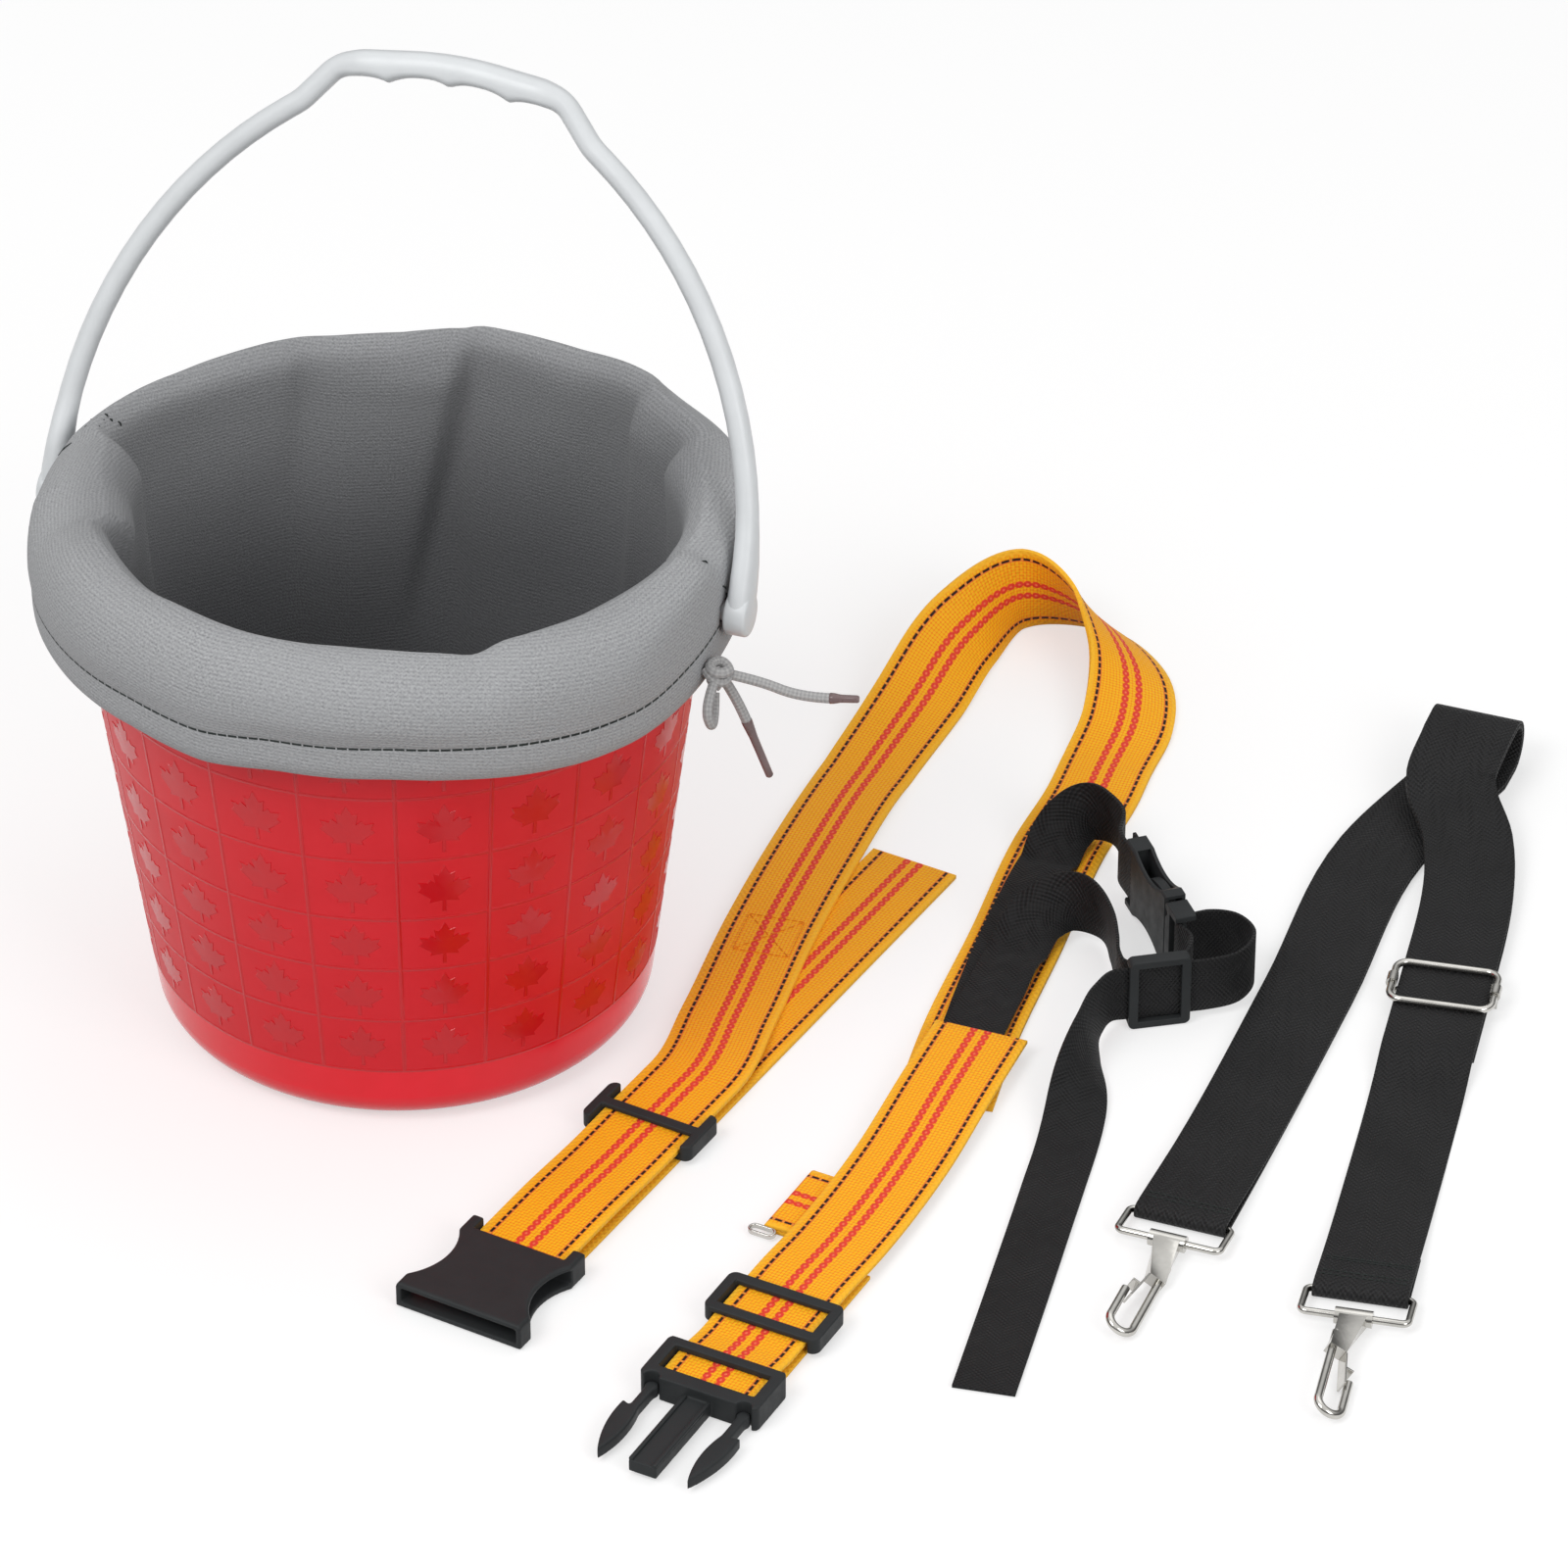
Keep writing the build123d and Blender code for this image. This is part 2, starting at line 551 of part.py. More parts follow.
cord_end(LONG_END, AGLET_LONG, "long")
cord_end(SHORT_END, AGLET_SHORT, "short")
loop_line = cord_line(cord_points(BOW_LOOP), LOOP_BEND)
save(tube(CORD_RADIUS, loop_line, "drawstring_loop") - knot_room, "drawstring_loop")

# Belt webbing. Levels at the fittings follow from what lies beneath the upper layer.
belt_pitch = BELT_THICK + LAYER_GAP
slider_level = belt_pitch + SLIDER_BAR_THICK + LAYER_GAP
belt_turn = BELT_BAR_RADIUS + LAYER_GAP + BELT_THICK / 2
belt_bar_height = BELT_THICK / 2 + belt_turn
turn_level = 2 * belt_turn
upper_run = straight(BELT_SOCKET_BAR, BELT_SOCKET_TURN, [
    (6, turn_level), (34, turn_level), (68, slider_level), (96, slider_level), (124, slider_level),
    (132, slider_level),
])
left_leg = [(x, y, level, 0) for (x, y), level in zip(BELT_LEFT_LEG, [belt_pitch + 0.4, belt_pitch, belt_pitch, 0])]
top_loop = [(x, y, 0, roll) for x, y, roll in BELT_LOOP]
right_leg = [(x, y, 0, 180) for x, y in BELT_RIGHT_LEG]
tail = lay(straight(BELT_SOCKET_BAR, BELT_SOCKET_TURN, [(BELT_TAIL_REACH, 0), (6, 0)]), BELT_WIDTH, BELT_THICK)
toward = heading(BELT_SOCKET_TURN) * -1
socket_bend = bend(spot(BELT_SOCKET_BAR, belt_bar_height), toward, UP, belt_turn)
leg = lay(upper_run + left_leg + top_loop + right_leg, BELT_WIDTH, BELT_THICK)
save(strip(tail + socket_bend + leg, BELT_WIDTH, BELT_THICK, "belt_webbing_main"), "belt_webbing_main")

sling_pitch = SLING_THICK + LAYER_GAP
patch_level = belt_pitch + 2 * sling_pitch
tab_level = 2 * belt_pitch
plug_run = straight(BELT_PLUG_BAR, BELT_PLUG_TURN, [
    (6, turn_level), (15.5, turn_level), (28, slider_level), (38, slider_level), (66, slider_level),
    (74, slider_level),
])
end_levels = [tab_level, tab_level, patch_level, patch_level]
end_leg = [(x, y, level, 0) for (x, y), level in zip(BELT_END_LEG, end_levels)]
under = lay(straight(BELT_PLUG_BAR, BELT_PLUG_TURN, [(PLUG_RETURN_REACH, 0), (6, 0)]), BELT_WIDTH, BELT_THICK)
toward = heading(BELT_PLUG_TURN) * -1
plug_bend = bend(spot(BELT_PLUG_BAR, belt_bar_height), toward, UP, belt_turn)
upper = lay(plug_run + end_leg, BELT_WIDTH, BELT_THICK)
save(strip(under + plug_bend + upper, BELT_WIDTH, BELT_THICK, "belt_webbing_end"), "belt_webbing_end")

# Tab folded under the belt, with the clip that it holds
tab_along = heading(BELT_PLUG_TURN)
tab_out = rightward(tab_along) * -1
tab_middle = spot(BELT_PLUG_BAR) + tab_along * TAB_REACH
fold_radius = belt_pitch / 2
fold_at = tab_middle + tab_out * (BELT_WIDTH / 2 + TAB_OVERHANG) + UP * (BELT_THICK / 2 + fold_radius)
fold = bend(fold_at, tab_out, UP, fold_radius)
low_end = (fold[0][0] - tab_out * TAB_LENGTH, fold[0][1])
high_end = (fold[-1][0] - tab_out * TAB_LENGTH, fold[-1][1])
save(strip([low_end] + fold + [high_end], BELT_WIDTH, BELT_THICK, "belt_tab"), "belt_tab")
clip_at = fold_at - tab_along * (BELT_WIDTH / 2 + 2.9) + tab_out * 1.0
clip_plane = Plane(clip_at, x_dir=tab_out, z_dir=UP)
clip = extrude(clip_plane * (SlotOverall(12, 5.6) - SlotOverall(12 - 2 * CLIP_WIRE, 5.6 - 2 * CLIP_WIRE)), CLIP_WIRE, both=True)
save(clip, "belt_clip")


# Sliders
def slider(width, thick, length, bar, bar_thick, rail, middle_side):
    """Three-bar slider, its webbing's middle at z = 0; the middle bar is above it or below it."""
    near, far = thick / 2 + LAYER_GAP, thick / 2 + LAYER_GAP + bar_thick
    inside = width / 2 + SIDE_GAP
    outside = inside + rail
    frame = block((-outside, -length / 2, -far), (outside, length / 2, far))
    frame = fillet(frame.edges().filter_by(Axis.Z), rail * 0.8)
    frame -= block((-inside, -length / 2 - 1, -near), (inside, length / 2 + 1, near))
    clear_low, clear_high = (-far - 1, near) if middle_side > 0 else (-near, far + 1)
    frame -= block((-inside, -bar / 2, clear_low), (inside, bar / 2, clear_high))
    keep_low, keep_high = (-near, far + 1) if middle_side > 0 else (-far - 1, near)
    for way in (-1, 1):
        slot = sorted((way * bar / 2, way * (length / 2 - bar)))
        frame -= block((-inside, slot[0], -far - 1), (inside, slot[1], far + 1))
        edge = sorted((way * (length / 2 - bar), way * (length / 2 + 1)))
        frame -= block((-inside, edge[0], keep_low), (inside, edge[1], keep_high))
    return frame


belt_slider_sizes = (BELT_WIDTH, BELT_THICK, SLIDER_LENGTH, SLIDER_BAR, SLIDER_BAR_THICK, SLIDER_RAIL)
slider_height = slider_level + BELT_THICK / 2
along = heading(BELT_SOCKET_TURN)
upper_slider_at = (BELT_SOCKET_BAR[0] + along.X * BELT_SLIDER_REACH, BELT_SOCKET_BAR[1] + along.Y * BELT_SLIDER_REACH)
place = flat_plane(upper_slider_at, BELT_SOCKET_TURN, slider_height)
save(place * slider(*belt_slider_sizes, 1), "belt_slider_upper")
along = heading(BELT_PLUG_TURN)
lower_slider_at = (BELT_PLUG_BAR[0] + along.X * PLUG_SLIDER_REACH, BELT_PLUG_BAR[1] + along.Y * PLUG_SLIDER_REACH)
place = flat_plane(lower_slider_at, BELT_PLUG_TURN, slider_height)
save(place * slider(*belt_slider_sizes, -1), "belt_slider_lower")


# Side-release buckles, drawn with the webbing bar on the X axis and the mouth or prongs toward -Y
def socket(width, notch, bar_radius, rail, length, waist, waist_back, mouth, mouth_depth, wall, low, high):
    """The buckle's socket with its webbing bar."""
    inside = width / 2 + SIDE_GAP
    outside = inside + rail
    outline = Curve() + [
        Polyline((0, bar_radius + 1.5), (outside, bar_radius + 1.5), (outside, -notch - 3)),
        ThreePointArc((outside, -notch - 3), (waist / 2, waist_back - length), (mouth / 2, mouth_depth - length)),
        Polyline((mouth / 2, mouth_depth - length), (mouth / 2, -length), (0, -length), (0, bar_radius + 1.5)),
    ]
    half_face = make_face(outline)
    body = extrude(Pos(0, 0, low) * (half_face + mirror(half_face, Plane.YZ)), high - low)
    body = chamfer(body.faces().sort_by(Axis.Z)[-1].edges(), wall * 0.45)
    hollow = mouth / 2 - wall
    body -= block((-hollow, -length - 1, low + wall), (hollow, -notch - wall, high - wall))
    body -= block((-inside, -notch, low - 1), (inside, bar_radius + 9, high + 1))
    return body + rod(bar_radius, (-outside + 0.5, 0, 0), (outside - 0.5, 0, 0))


def plug(width, notch, bar_radius, rail, plate, rail_end, low, high, tongue, spread, knuckle):
    """The buckle's plug: webbing bar, rails, cross plate and guide tongue."""
    inside = width / 2 + SIDE_GAP
    outside = inside + rail
    tongue_width, tongue_length, tongue_thick = tongue
    face_y = -notch - plate
    body = block((-outside, face_y, low), (outside, rail_end, high))
    body = fillet(body.edges().filter_by(Axis.Z), rail * 0.5)
    body -= block((-inside, -notch, low - 1), (inside, rail_end + 1, high + 1))
    body += rod(bar_radius, (-outside + 0.5, 0, 0), (outside - 0.5, 0, 0))
    body += block(
        (-tongue_width / 2, face_y - tongue_length, -tongue_thick / 2),
        (tongue_width / 2, face_y + 1, tongue_thick / 2),
    )
    for way in (-1, 1):
        seat = rod(knuckle + RUN_GAP, (way * spread, face_y, low - 1), (way * spread, face_y, high + 1))
        body -= seat
    return body


def prong(side, face_y, spread, arm_width, arm_length, head_length, head_width, knuckle, thick):
    """One sprung prong with its root knuckle, on one side of the tongue."""
    neck_y, tip_y = face_y - arm_length, face_y - arm_length - head_length
    inner_x = spread - arm_width / 2
    outline = Curve() + [
        Polyline(
            (inner_x, face_y), (inner_x + arm_width, face_y), (inner_x + arm_width, neck_y),
            (spread + head_width * 0.5, neck_y + 1.5),
        ),
        ThreePointArc(
            (spread + head_width * 0.5, neck_y + 1.5), (spread + head_width * 0.42, (neck_y + tip_y) / 2),
            (spread - 0.5, tip_y),
        ),
        ThreePointArc(
            (spread - 0.5, tip_y), (spread - head_width * 0.32, (neck_y + tip_y) / 2), (inner_x, neck_y),
        ),
        Line((inner_x, neck_y), (inner_x, face_y)),
    ]
    solid = extrude(make_face(outline), thick / 2, both=True)
    solid += rod(knuckle, (spread, face_y, -thick / 2), (spread, face_y, thick / 2))
    return solid if side > 0 else mirror(solid, Plane.YZ)


belt_notch = belt_turn + BELT_THICK / 2 + LAYER_GAP
belt_low, belt_high = LAYER_GAP - belt_bar_height, BELT_BUCKLE_HEIGHT - belt_bar_height
belt_head_reach = BELT_ARM_LENGTH + BELT_HEAD_LENGTH / 2
place = flat_plane(BELT_SOCKET_BAR, BELT_SOCKET_TURN, belt_bar_height)
save(place * socket(
    BELT_WIDTH, belt_notch, BELT_BAR_RADIUS, BELT_BUCKLE_RAIL, BELT_SOCKET_LENGTH, BELT_SOCKET_WAIST,
    belt_head_reach, BELT_SOCKET_MOUTH, BELT_MOUTH_DEPTH, BELT_SOCKET_WALL, belt_low, belt_high,
), "belt_socket")
place = flat_plane(BELT_PLUG_BAR, BELT_PLUG_TURN, belt_bar_height)
belt_knuckle = BELT_ARM_WIDTH / 2 + 0.8
frame_end = BELT_FRAME_REACH + BELT_FRAME_BAR / 2
belt_plug = plug(
    BELT_WIDTH, belt_notch, BELT_BAR_RADIUS, BELT_BUCKLE_RAIL, BELT_PLATE, frame_end, belt_low, belt_high,
    (BELT_TONGUE_WIDTH, BELT_TONGUE_LENGTH, BELT_PRONG_THICK), BELT_PRONG_SPREAD, belt_knuckle,
)
frame_low = belt_turn + BELT_THICK / 2 + LAYER_GAP
frame_half = BELT_WIDTH / 2 + SIDE_GAP + BELT_BUCKLE_RAIL - 1
belt_plug += block((-frame_half, frame_end - BELT_FRAME_BAR, frame_low), (frame_half, frame_end, belt_high))
save(place * belt_plug, "belt_plug")
for side, word in ((-1, "left"), (1, "right")):
    save(place * prong(
        side, -belt_notch - BELT_PLATE, BELT_PRONG_SPREAD, BELT_ARM_WIDTH, BELT_ARM_LENGTH, BELT_HEAD_LENGTH,
        BELT_HEAD_WIDTH, belt_knuckle, BELT_PRONG_THICK,
    ), f"belt_prong_{word}")

# Sling: the closed buckle stands on edge, its webbing bar upright
sling_turn = SLING_BAR_RADIUS + LAYER_GAP + SLING_THICK / 2
sling_notch = sling_turn + SLING_THICK / 2 + LAYER_GAP
sling_head_reach = SLING_ARM_LENGTH + SLING_HEAD_LENGTH / 2
sling_run = heading(SLING_BUCKLE_TURN)
sling_beside = rightward(sling_run)
edge_height = SLING_WIDTH / 2 + SIDE_GAP + SLING_BUCKLE_RAIL
socket_at = spot(SLING_SOCKET_BAR, edge_height)
plug_reach = SLING_SOCKET_LENGTH + BUCKLE_CLOSE_GAP + SLING_PLATE + sling_notch
plug_at = socket_at + sling_run * plug_reach
place = Plane(socket_at, x_dir=UP, z_dir=sling_beside)
save(place * socket(
    SLING_WIDTH, sling_notch, SLING_BAR_RADIUS, SLING_BUCKLE_RAIL, SLING_SOCKET_LENGTH, SLING_SOCKET_WAIST,
    sling_head_reach, SLING_SOCKET_MOUTH, SLING_MOUTH_DEPTH, SLING_SOCKET_WALL,
    -SLING_BUCKLE_HEIGHT / 2, SLING_BUCKLE_HEIGHT / 2,
), "sling_socket")
place = Plane(plug_at, x_dir=UP, z_dir=sling_beside * -1)
sling_knuckle = SLING_ARM_WIDTH / 2 + 0.5
save(place * plug(
    SLING_WIDTH, sling_notch, SLING_BAR_RADIUS, SLING_BUCKLE_RAIL, SLING_PLATE, SLING_BAR_RADIUS + 2,
    -SLING_BUCKLE_HEIGHT / 2, SLING_BUCKLE_HEIGHT / 2,
    (SLING_TONGUE_WIDTH, SLING_TONGUE_LENGTH, SLING_PRONG_THICK), SLING_PRONG_SPREAD, sling_knuckle,
), "sling_plug")
for side, word in ((-1, "low"), (1, "high")):
    save(place * prong(
        side, -sling_notch - SLING_PLATE, SLING_PRONG_SPREAD, SLING_ARM_WIDTH, SLING_ARM_LENGTH,
        SLING_HEAD_LENGTH, SLING_HEAD_WIDTH, sling_knuckle, SLING_PRONG_THICK,
    ), f"sling_prong_{word}")

# Sling straps: the upper one ends on the socket, the lower one goes round the plug and through the slider
strap_low = edge_height - SLING_WIDTH / 2


def flat_rows(points, level):
    """Route rows that lie flat at one level."""
    return [(x, y, level, 0) for x, y in points]


def rolled_rows(points, start_level, end_level):
    """Route rows with a roll, the level going evenly from start to end."""
    count = len(points) - 1
    return [(x, y, start_level + (end_level - start_level) * k / count, roll) for k, (x, y, roll) in enumerate(points)]


def edge_row(point, level):
    """Route row that stands on edge at a point in space."""
    return (point.X - LAYOUT_X, point.Y, level, 90)


arrive = socket_at + sling_beside * sling_turn
upper_rows = flat_rows(SLING_UPPER, belt_pitch) + rolled_rows(SLING_UPPER_TURN, belt_pitch + 0.5, strap_low)
upper_rows += [edge_row(arrive - sling_run * lead, strap_low) for lead in SLING_SOCKET_LEAD]
stations = lay(upper_rows, SLING_WIDTH, SLING_THICK)
stations += bend(socket_at, sling_run, sling_beside * -1, sling_turn)
leave = socket_at - sling_beside * sling_turn
stations += [(leave - sling_run * 3, UP), (leave - sling_run * 12, UP)]
save(strip(stations, SLING_WIDTH, SLING_THICK, "sling_strap_upper"), "sling_strap_upper")

slider_run = heading(SLING_SLIDER_TURN)
slider_front = rightward(slider_run)
slider_at = spot(SLING_SLIDER, edge_height)
back_offset = SLING_THICK + 2 * LAYER_GAP + SLING_BAR_THICK
back = slider_at - slider_front * back_offset
west = plug_at + sling_beside * sling_turn
lower_rows = flat_rows(SLING_LOWER, belt_pitch + sling_pitch)
lower_rows += rolled_rows(SLING_LOWER_TURN, belt_pitch + sling_pitch + 0.5, strap_low)
lower_rows += [edge_row(back + slider_run * s, strap_low) for s in SLING_SLIDER_HOLD]
for lead, beside in SLING_PLUG_LEAD:
    lower_rows.append(edge_row(west + sling_run * lead - sling_beside * beside, strap_low))
stations = lay(lower_rows, SLING_WIDTH, SLING_THICK)
stations += bend(plug_at, sling_beside, sling_run * -1, sling_turn, 0.0, 6)
apex_row = edge_row(plug_at - sling_run * sling_turn - sling_beside * SLING_LOOP_LEAD, strap_low)
loop_rows = [apex_row] + [(x, y, strap_low, 90) for x, y in SLING_LOOP]
loop_rows += [edge_row(slider_at + slider_run * s, strap_low) for s in SLING_SLIDER_RUN]
tail_levels = [strap_low * share for share in (0.8, 0.5, 0, 0, 0, 0)]
loop_rows += [(x, y, level, roll) for (x, y, roll), level in zip(SLING_TAIL, tail_levels)]
stations += lay(loop_rows, SLING_WIDTH, SLING_THICK)
save(strip(stations, SLING_WIDTH, SLING_THICK, "sling_strap_lower"), "sling_strap_lower")
place = Plane(slider_at, x_dir=UP, z_dir=slider_front)
save(place * slider(
    SLING_WIDTH, SLING_THICK, SLING_SLIDER_LENGTH, SLING_BAR, SLING_BAR_THICK, SLING_SLIDER_RAIL, -1,
), "sling_slider")

# Shoulder strap: from the slider over the crest to ring 1, back over the crest and down to ring 2
strap_pitch = STRAP_THICK + LAYER_GAP
ring_turn = RING_WIRE + LAYER_GAP + STRAP_THICK / 2
ring_height = STRAP_THICK / 2 + ring_turn
ring_level = 2 * ring_turn
bar_level = strap_pitch + 2 * MIDDLE_BAR_RADIUS + LAYER_GAP
crest_run = heading(STRAP_CREST_TURN)
crest_at = spot(STRAP_CREST) - crest_run * STRAP_CREST_RADIUS
crest_middle = crest_at + UP * (STRAP_THICK / 2 + STRAP_CREST_RADIUS)
inner_bend = STRAP_CREST_RADIUS - strap_pitch


def crest_row(reach, level):
    """Route row behind the crest's middle."""
    point = crest_at - crest_run * reach
    return (point.X - LAYOUT_X, point.Y, level, 0)


def right_rows(low, high):
    """The right leg from the slider to the crest, with its level there and at the crest."""
    flat = (-40, -34, 0, 34, 40)
    rows = straight(STRAP_RING_2, STRAP_TURN_2, [(STRAP_SLIDER_REACH + step, low) for step in flat])
    over = 2 * strap_pitch
    lift = high - 2 * STRAP_CREST_RADIUS
    x, y = STRAP_RIGHT_LEG[1]
    rows += [(x, y, over + lift + strap_pitch + 3.0, 0)]
    return rows + [crest_row(34, high - 7.5), crest_row(12, high - 0.8)]


left_low = flat_rows(STRAP_LEFT_LEG, 0)
left_high = flat_rows(STRAP_LEFT_LEG, strap_pitch)
ring_rows_low = straight(STRAP_RING_1, STRAP_TURN_1, [(4, 0), (50, 0)])
ring_rows_high = straight(STRAP_RING_1, STRAP_TURN_1, [(4, ring_level), (50, strap_pitch)])
inner_top = 2 * STRAP_CREST_RADIUS - strap_pitch
outer_top = 2 * STRAP_CREST_RADIUS
inner_right = lay(right_rows(0, inner_top), STRAP_WIDTH, STRAP_THICK)
inner_crest = bend(crest_middle, crest_run, UP, inner_bend)[::-1]
inner_left = lay([crest_row(12, strap_pitch)] + left_high[::-1] + ring_rows_high[::-1], STRAP_WIDTH, STRAP_THICK)
ring_bend = bend(spot(STRAP_RING_1, ring_height), heading(STRAP_TURN_1) * -1, UP, ring_turn)[::-1]
outer_left = lay(ring_rows_low + left_low + [crest_row(12, 0)], STRAP_WIDTH, STRAP_THICK)
outer_crest = bend(crest_middle, crest_run, UP, STRAP_CREST_RADIUS)
down_rows = straight(STRAP_RING_2, STRAP_TURN_2, [
    (4, ring_level), (34, strap_pitch), (70, 0.0), (STRAP_SLIDER_REACH - 60, 1.0),
])
outer_right = lay(down_rows + right_rows(bar_level, outer_top), STRAP_WIDTH, STRAP_THICK)[::-1]
last_bend = bend(spot(STRAP_RING_2, ring_height), heading(STRAP_TURN_2) * -1, UP, ring_turn)[::-1]
sewn = lay(straight(STRAP_RING_2, STRAP_TURN_2, [(4, 0), (STRAP_SEWN_REACH, 0)]), STRAP_WIDTH, STRAP_THICK)
stations = inner_right + inner_crest + inner_left + ring_bend + outer_left + outer_crest + outer_right
stations += last_bend + sewn
save(strip(stations, STRAP_WIDTH, STRAP_THICK, "shoulder_webbing"), "shoulder_webbing")


# Wire frames
def wire_loop(width, length, corner, radius):
    """Closed wire rectangle in the XY plane, given between the wire's middles."""
    outline = RectangleRounded(width, length, corner).wire()
    return sweep(Plane(outline @ 0, z_dir=outline % 0) * Circle(radius), path=outline)


# Slider of the shoulder strap
rail_x = STRAP_WIDTH / 2 + SIDE_GAP + FRAME_WIRE
frame_height = bar_level + STRAP_THICK + LAYER_GAP + FRAME_WIRE
along = heading(STRAP_TURN_2)
strap_slider_at = (STRAP_RING_2[0] + along.X * STRAP_SLIDER_REACH, STRAP_RING_2[1] + along.Y * STRAP_SLIDER_REACH)
place = flat_plane(strap_slider_at, STRAP_TURN_2, frame_height)
save(place * wire_loop(2 * rail_x, FRAME_LENGTH, FRAME_CORNER, FRAME_WIRE), "strap_slider_frame")
bar_drop = frame_height - strap_pitch - MIDDLE_BAR_RADIUS
middle_bar = rod(MIDDLE_BAR_RADIUS, (-rail_x, 0, -bar_drop), (rail_x, 0, -bar_drop))
collar_radius = FRAME_WIRE + PIVOT_GAP + COLLAR_WALL
for way in (-1, 1):
    x = way * rail_x
    post = block(
        (x - MIDDLE_BAR_RADIUS, -COLLAR_LENGTH / 2, -bar_drop - MIDDLE_BAR_RADIUS),
        (x + MIDDLE_BAR_RADIUS, COLLAR_LENGTH / 2, 0),
    )
    sleeve = rod(collar_radius, (x, -COLLAR_LENGTH / 2, 0), (x, COLLAR_LENGTH / 2, 0))
    middle_bar += post + sleeve
    middle_bar -= rod(FRAME_WIRE + PIVOT_GAP, (x, -20, 0), (x, 20, 0))
web_room = STRAP_WIDTH / 2 + LAYER_GAP
middle_bar -= block((-web_room, -20, -bar_drop + MIDDLE_BAR_RADIUS + 0.01), (web_room, 20, 20))
save(place * middle_bar, "strap_slider_bar")

# Snap hooks
hook_height = HOOK_WIRE + sin(radians(HOOK_CANT)) * HOOK_OPENING / 2 + 0.4
ring_tilt = degrees(asin((hook_height - ring_height) / RING_LENGTH))
ring_width = STRAP_WIDTH + 2 * SIDE_GAP + 2 * RING_WIRE


def snap_hook(ring_point, turn, point_side, number):
    """Ring, body, hook wire and sprung gate; the hook's point is on its left or right side."""
    place = flat_plane(ring_point, turn, ring_height)
    tilted = place * Rot(-ring_tilt, 0, 0)
    ring = Pos(0, -RING_LENGTH / 2, 0) * wire_loop(ring_width, RING_LENGTH, RING_CORNER, RING_WIRE)
    save(tilted * ring, f"hook_{number}_ring")
    reach = RING_LENGTH * cos(radians(ring_tilt))
    hook_place = place * Pos(0, -reach, hook_height - ring_height)
    cant = Rot(0, HOOK_CANT, 0)
    shank_x = -point_side * HOOK_OPENING / 2
    body_x = shank_x + point_side * 1.6
    root = Plane((0, -2.0, 0), x_dir=(1, 0, 0), z_dir=(0, -1, 0))
    tip = Plane((0, -BODY_LENGTH, 0), x_dir=(cos(radians(HOOK_CANT)), 0, -sin(radians(HOOK_CANT))), z_dir=(0, -1, 0))
    sections = [root * Rectangle(BODY_WIDTH, BODY_THICK), tip * Pos(body_x, 0) * Rectangle(BODY_END_WIDTH, BODY_THICK)]
    body = loft(sections, ruled=True)
    body += rod(SLEEVE_RADIUS, (-SLEEVE_LENGTH / 2, 0, 0), (SLEEVE_LENGTH / 2, 0, 0))
    body -= rod(RING_WIRE + PIVOT_GAP, (-SLEEVE_LENGTH, 0, 0), (SLEEVE_LENGTH, 0, 0))
    set_y = -BODY_LENGTH + HOOK_SET_DEPTH
    body -= cant * rod(HOOK_WIRE + FIT_GAP, (shank_x, set_y, 0), (shank_x, -BODY_LENGTH - 1, 0))
    save(hook_place * body, f"hook_{number}_body")
    bend_y = -HOOK_LENGTH + HOOK_OPENING / 2 + HOOK_WIRE
    shank = Line((shank_x, set_y - FIT_GAP), (shank_x, bend_y))
    crook = ThreePointArc((shank_x, bend_y), (0, bend_y - HOOK_OPENING / 2), (-shank_x, bend_y))
    point = Line((-shank_x, bend_y), (-shank_x, bend_y + HOOK_POINT_LENGTH))
    wire = tube(HOOK_WIRE, Wire([shank, crook, point]), f"hook_{number}_wire")
    save(hook_place * cant * wire, f"hook_{number}_wire")
    gate_out = -shank_x - point_side * (HOOK_WIRE + RUN_GAP)
    gate_in = gate_out - point_side * 2.6
    gate_y = -BODY_LENGTH - RUN_GAP
    outline = Polyline(
        (gate_in, gate_y), (gate_out, gate_y - GATE_LENGTH), (gate_out - point_side * GATE_THICK, gate_y - GATE_LENGTH),
        (gate_in - point_side * GATE_THICK, gate_y), close=True,
    )
    gate = extrude(make_face(outline), GATE_WIDTH / 2, both=True)
    tab_y = gate_y - GATE_LENGTH * 0.45
    tab_x = sorted((gate_in + point_side * 0.4, gate_in + point_side * (0.4 + GATE_TAB)))
    gate += block((tab_x[0], tab_y - GATE_THICK, -GATE_WIDTH / 2), (tab_x[1], tab_y, GATE_WIDTH / 2))
    save(hook_place * cant * gate, f"hook_{number}_gate")


snap_hook(STRAP_RING_1, STRAP_TURN_1, -1, 1)
snap_hook(STRAP_RING_2, STRAP_TURN_2, 1, 2)
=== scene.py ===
import bpy
from math import atan2, cos, degrees, exp, hypot, pi, radians, sin, sqrt, tan
from mathutils import Matrix, Vector


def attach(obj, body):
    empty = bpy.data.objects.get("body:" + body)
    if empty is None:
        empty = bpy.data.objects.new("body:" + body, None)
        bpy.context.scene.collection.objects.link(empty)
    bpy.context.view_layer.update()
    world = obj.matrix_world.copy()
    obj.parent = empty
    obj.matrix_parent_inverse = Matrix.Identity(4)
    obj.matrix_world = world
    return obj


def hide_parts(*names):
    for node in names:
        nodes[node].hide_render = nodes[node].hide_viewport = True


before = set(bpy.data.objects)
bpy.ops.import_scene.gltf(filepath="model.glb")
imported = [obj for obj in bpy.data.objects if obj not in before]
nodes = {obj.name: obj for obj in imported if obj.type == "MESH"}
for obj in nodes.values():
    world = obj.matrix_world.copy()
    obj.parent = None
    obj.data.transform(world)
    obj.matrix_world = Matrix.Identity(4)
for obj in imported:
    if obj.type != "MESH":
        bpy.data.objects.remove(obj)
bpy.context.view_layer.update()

scene = bpy.context.scene
UP = Vector((0, 0, 1))
FINE_MERGE = 0.000002    # doubles closer than this, in metres, are merged after rounding

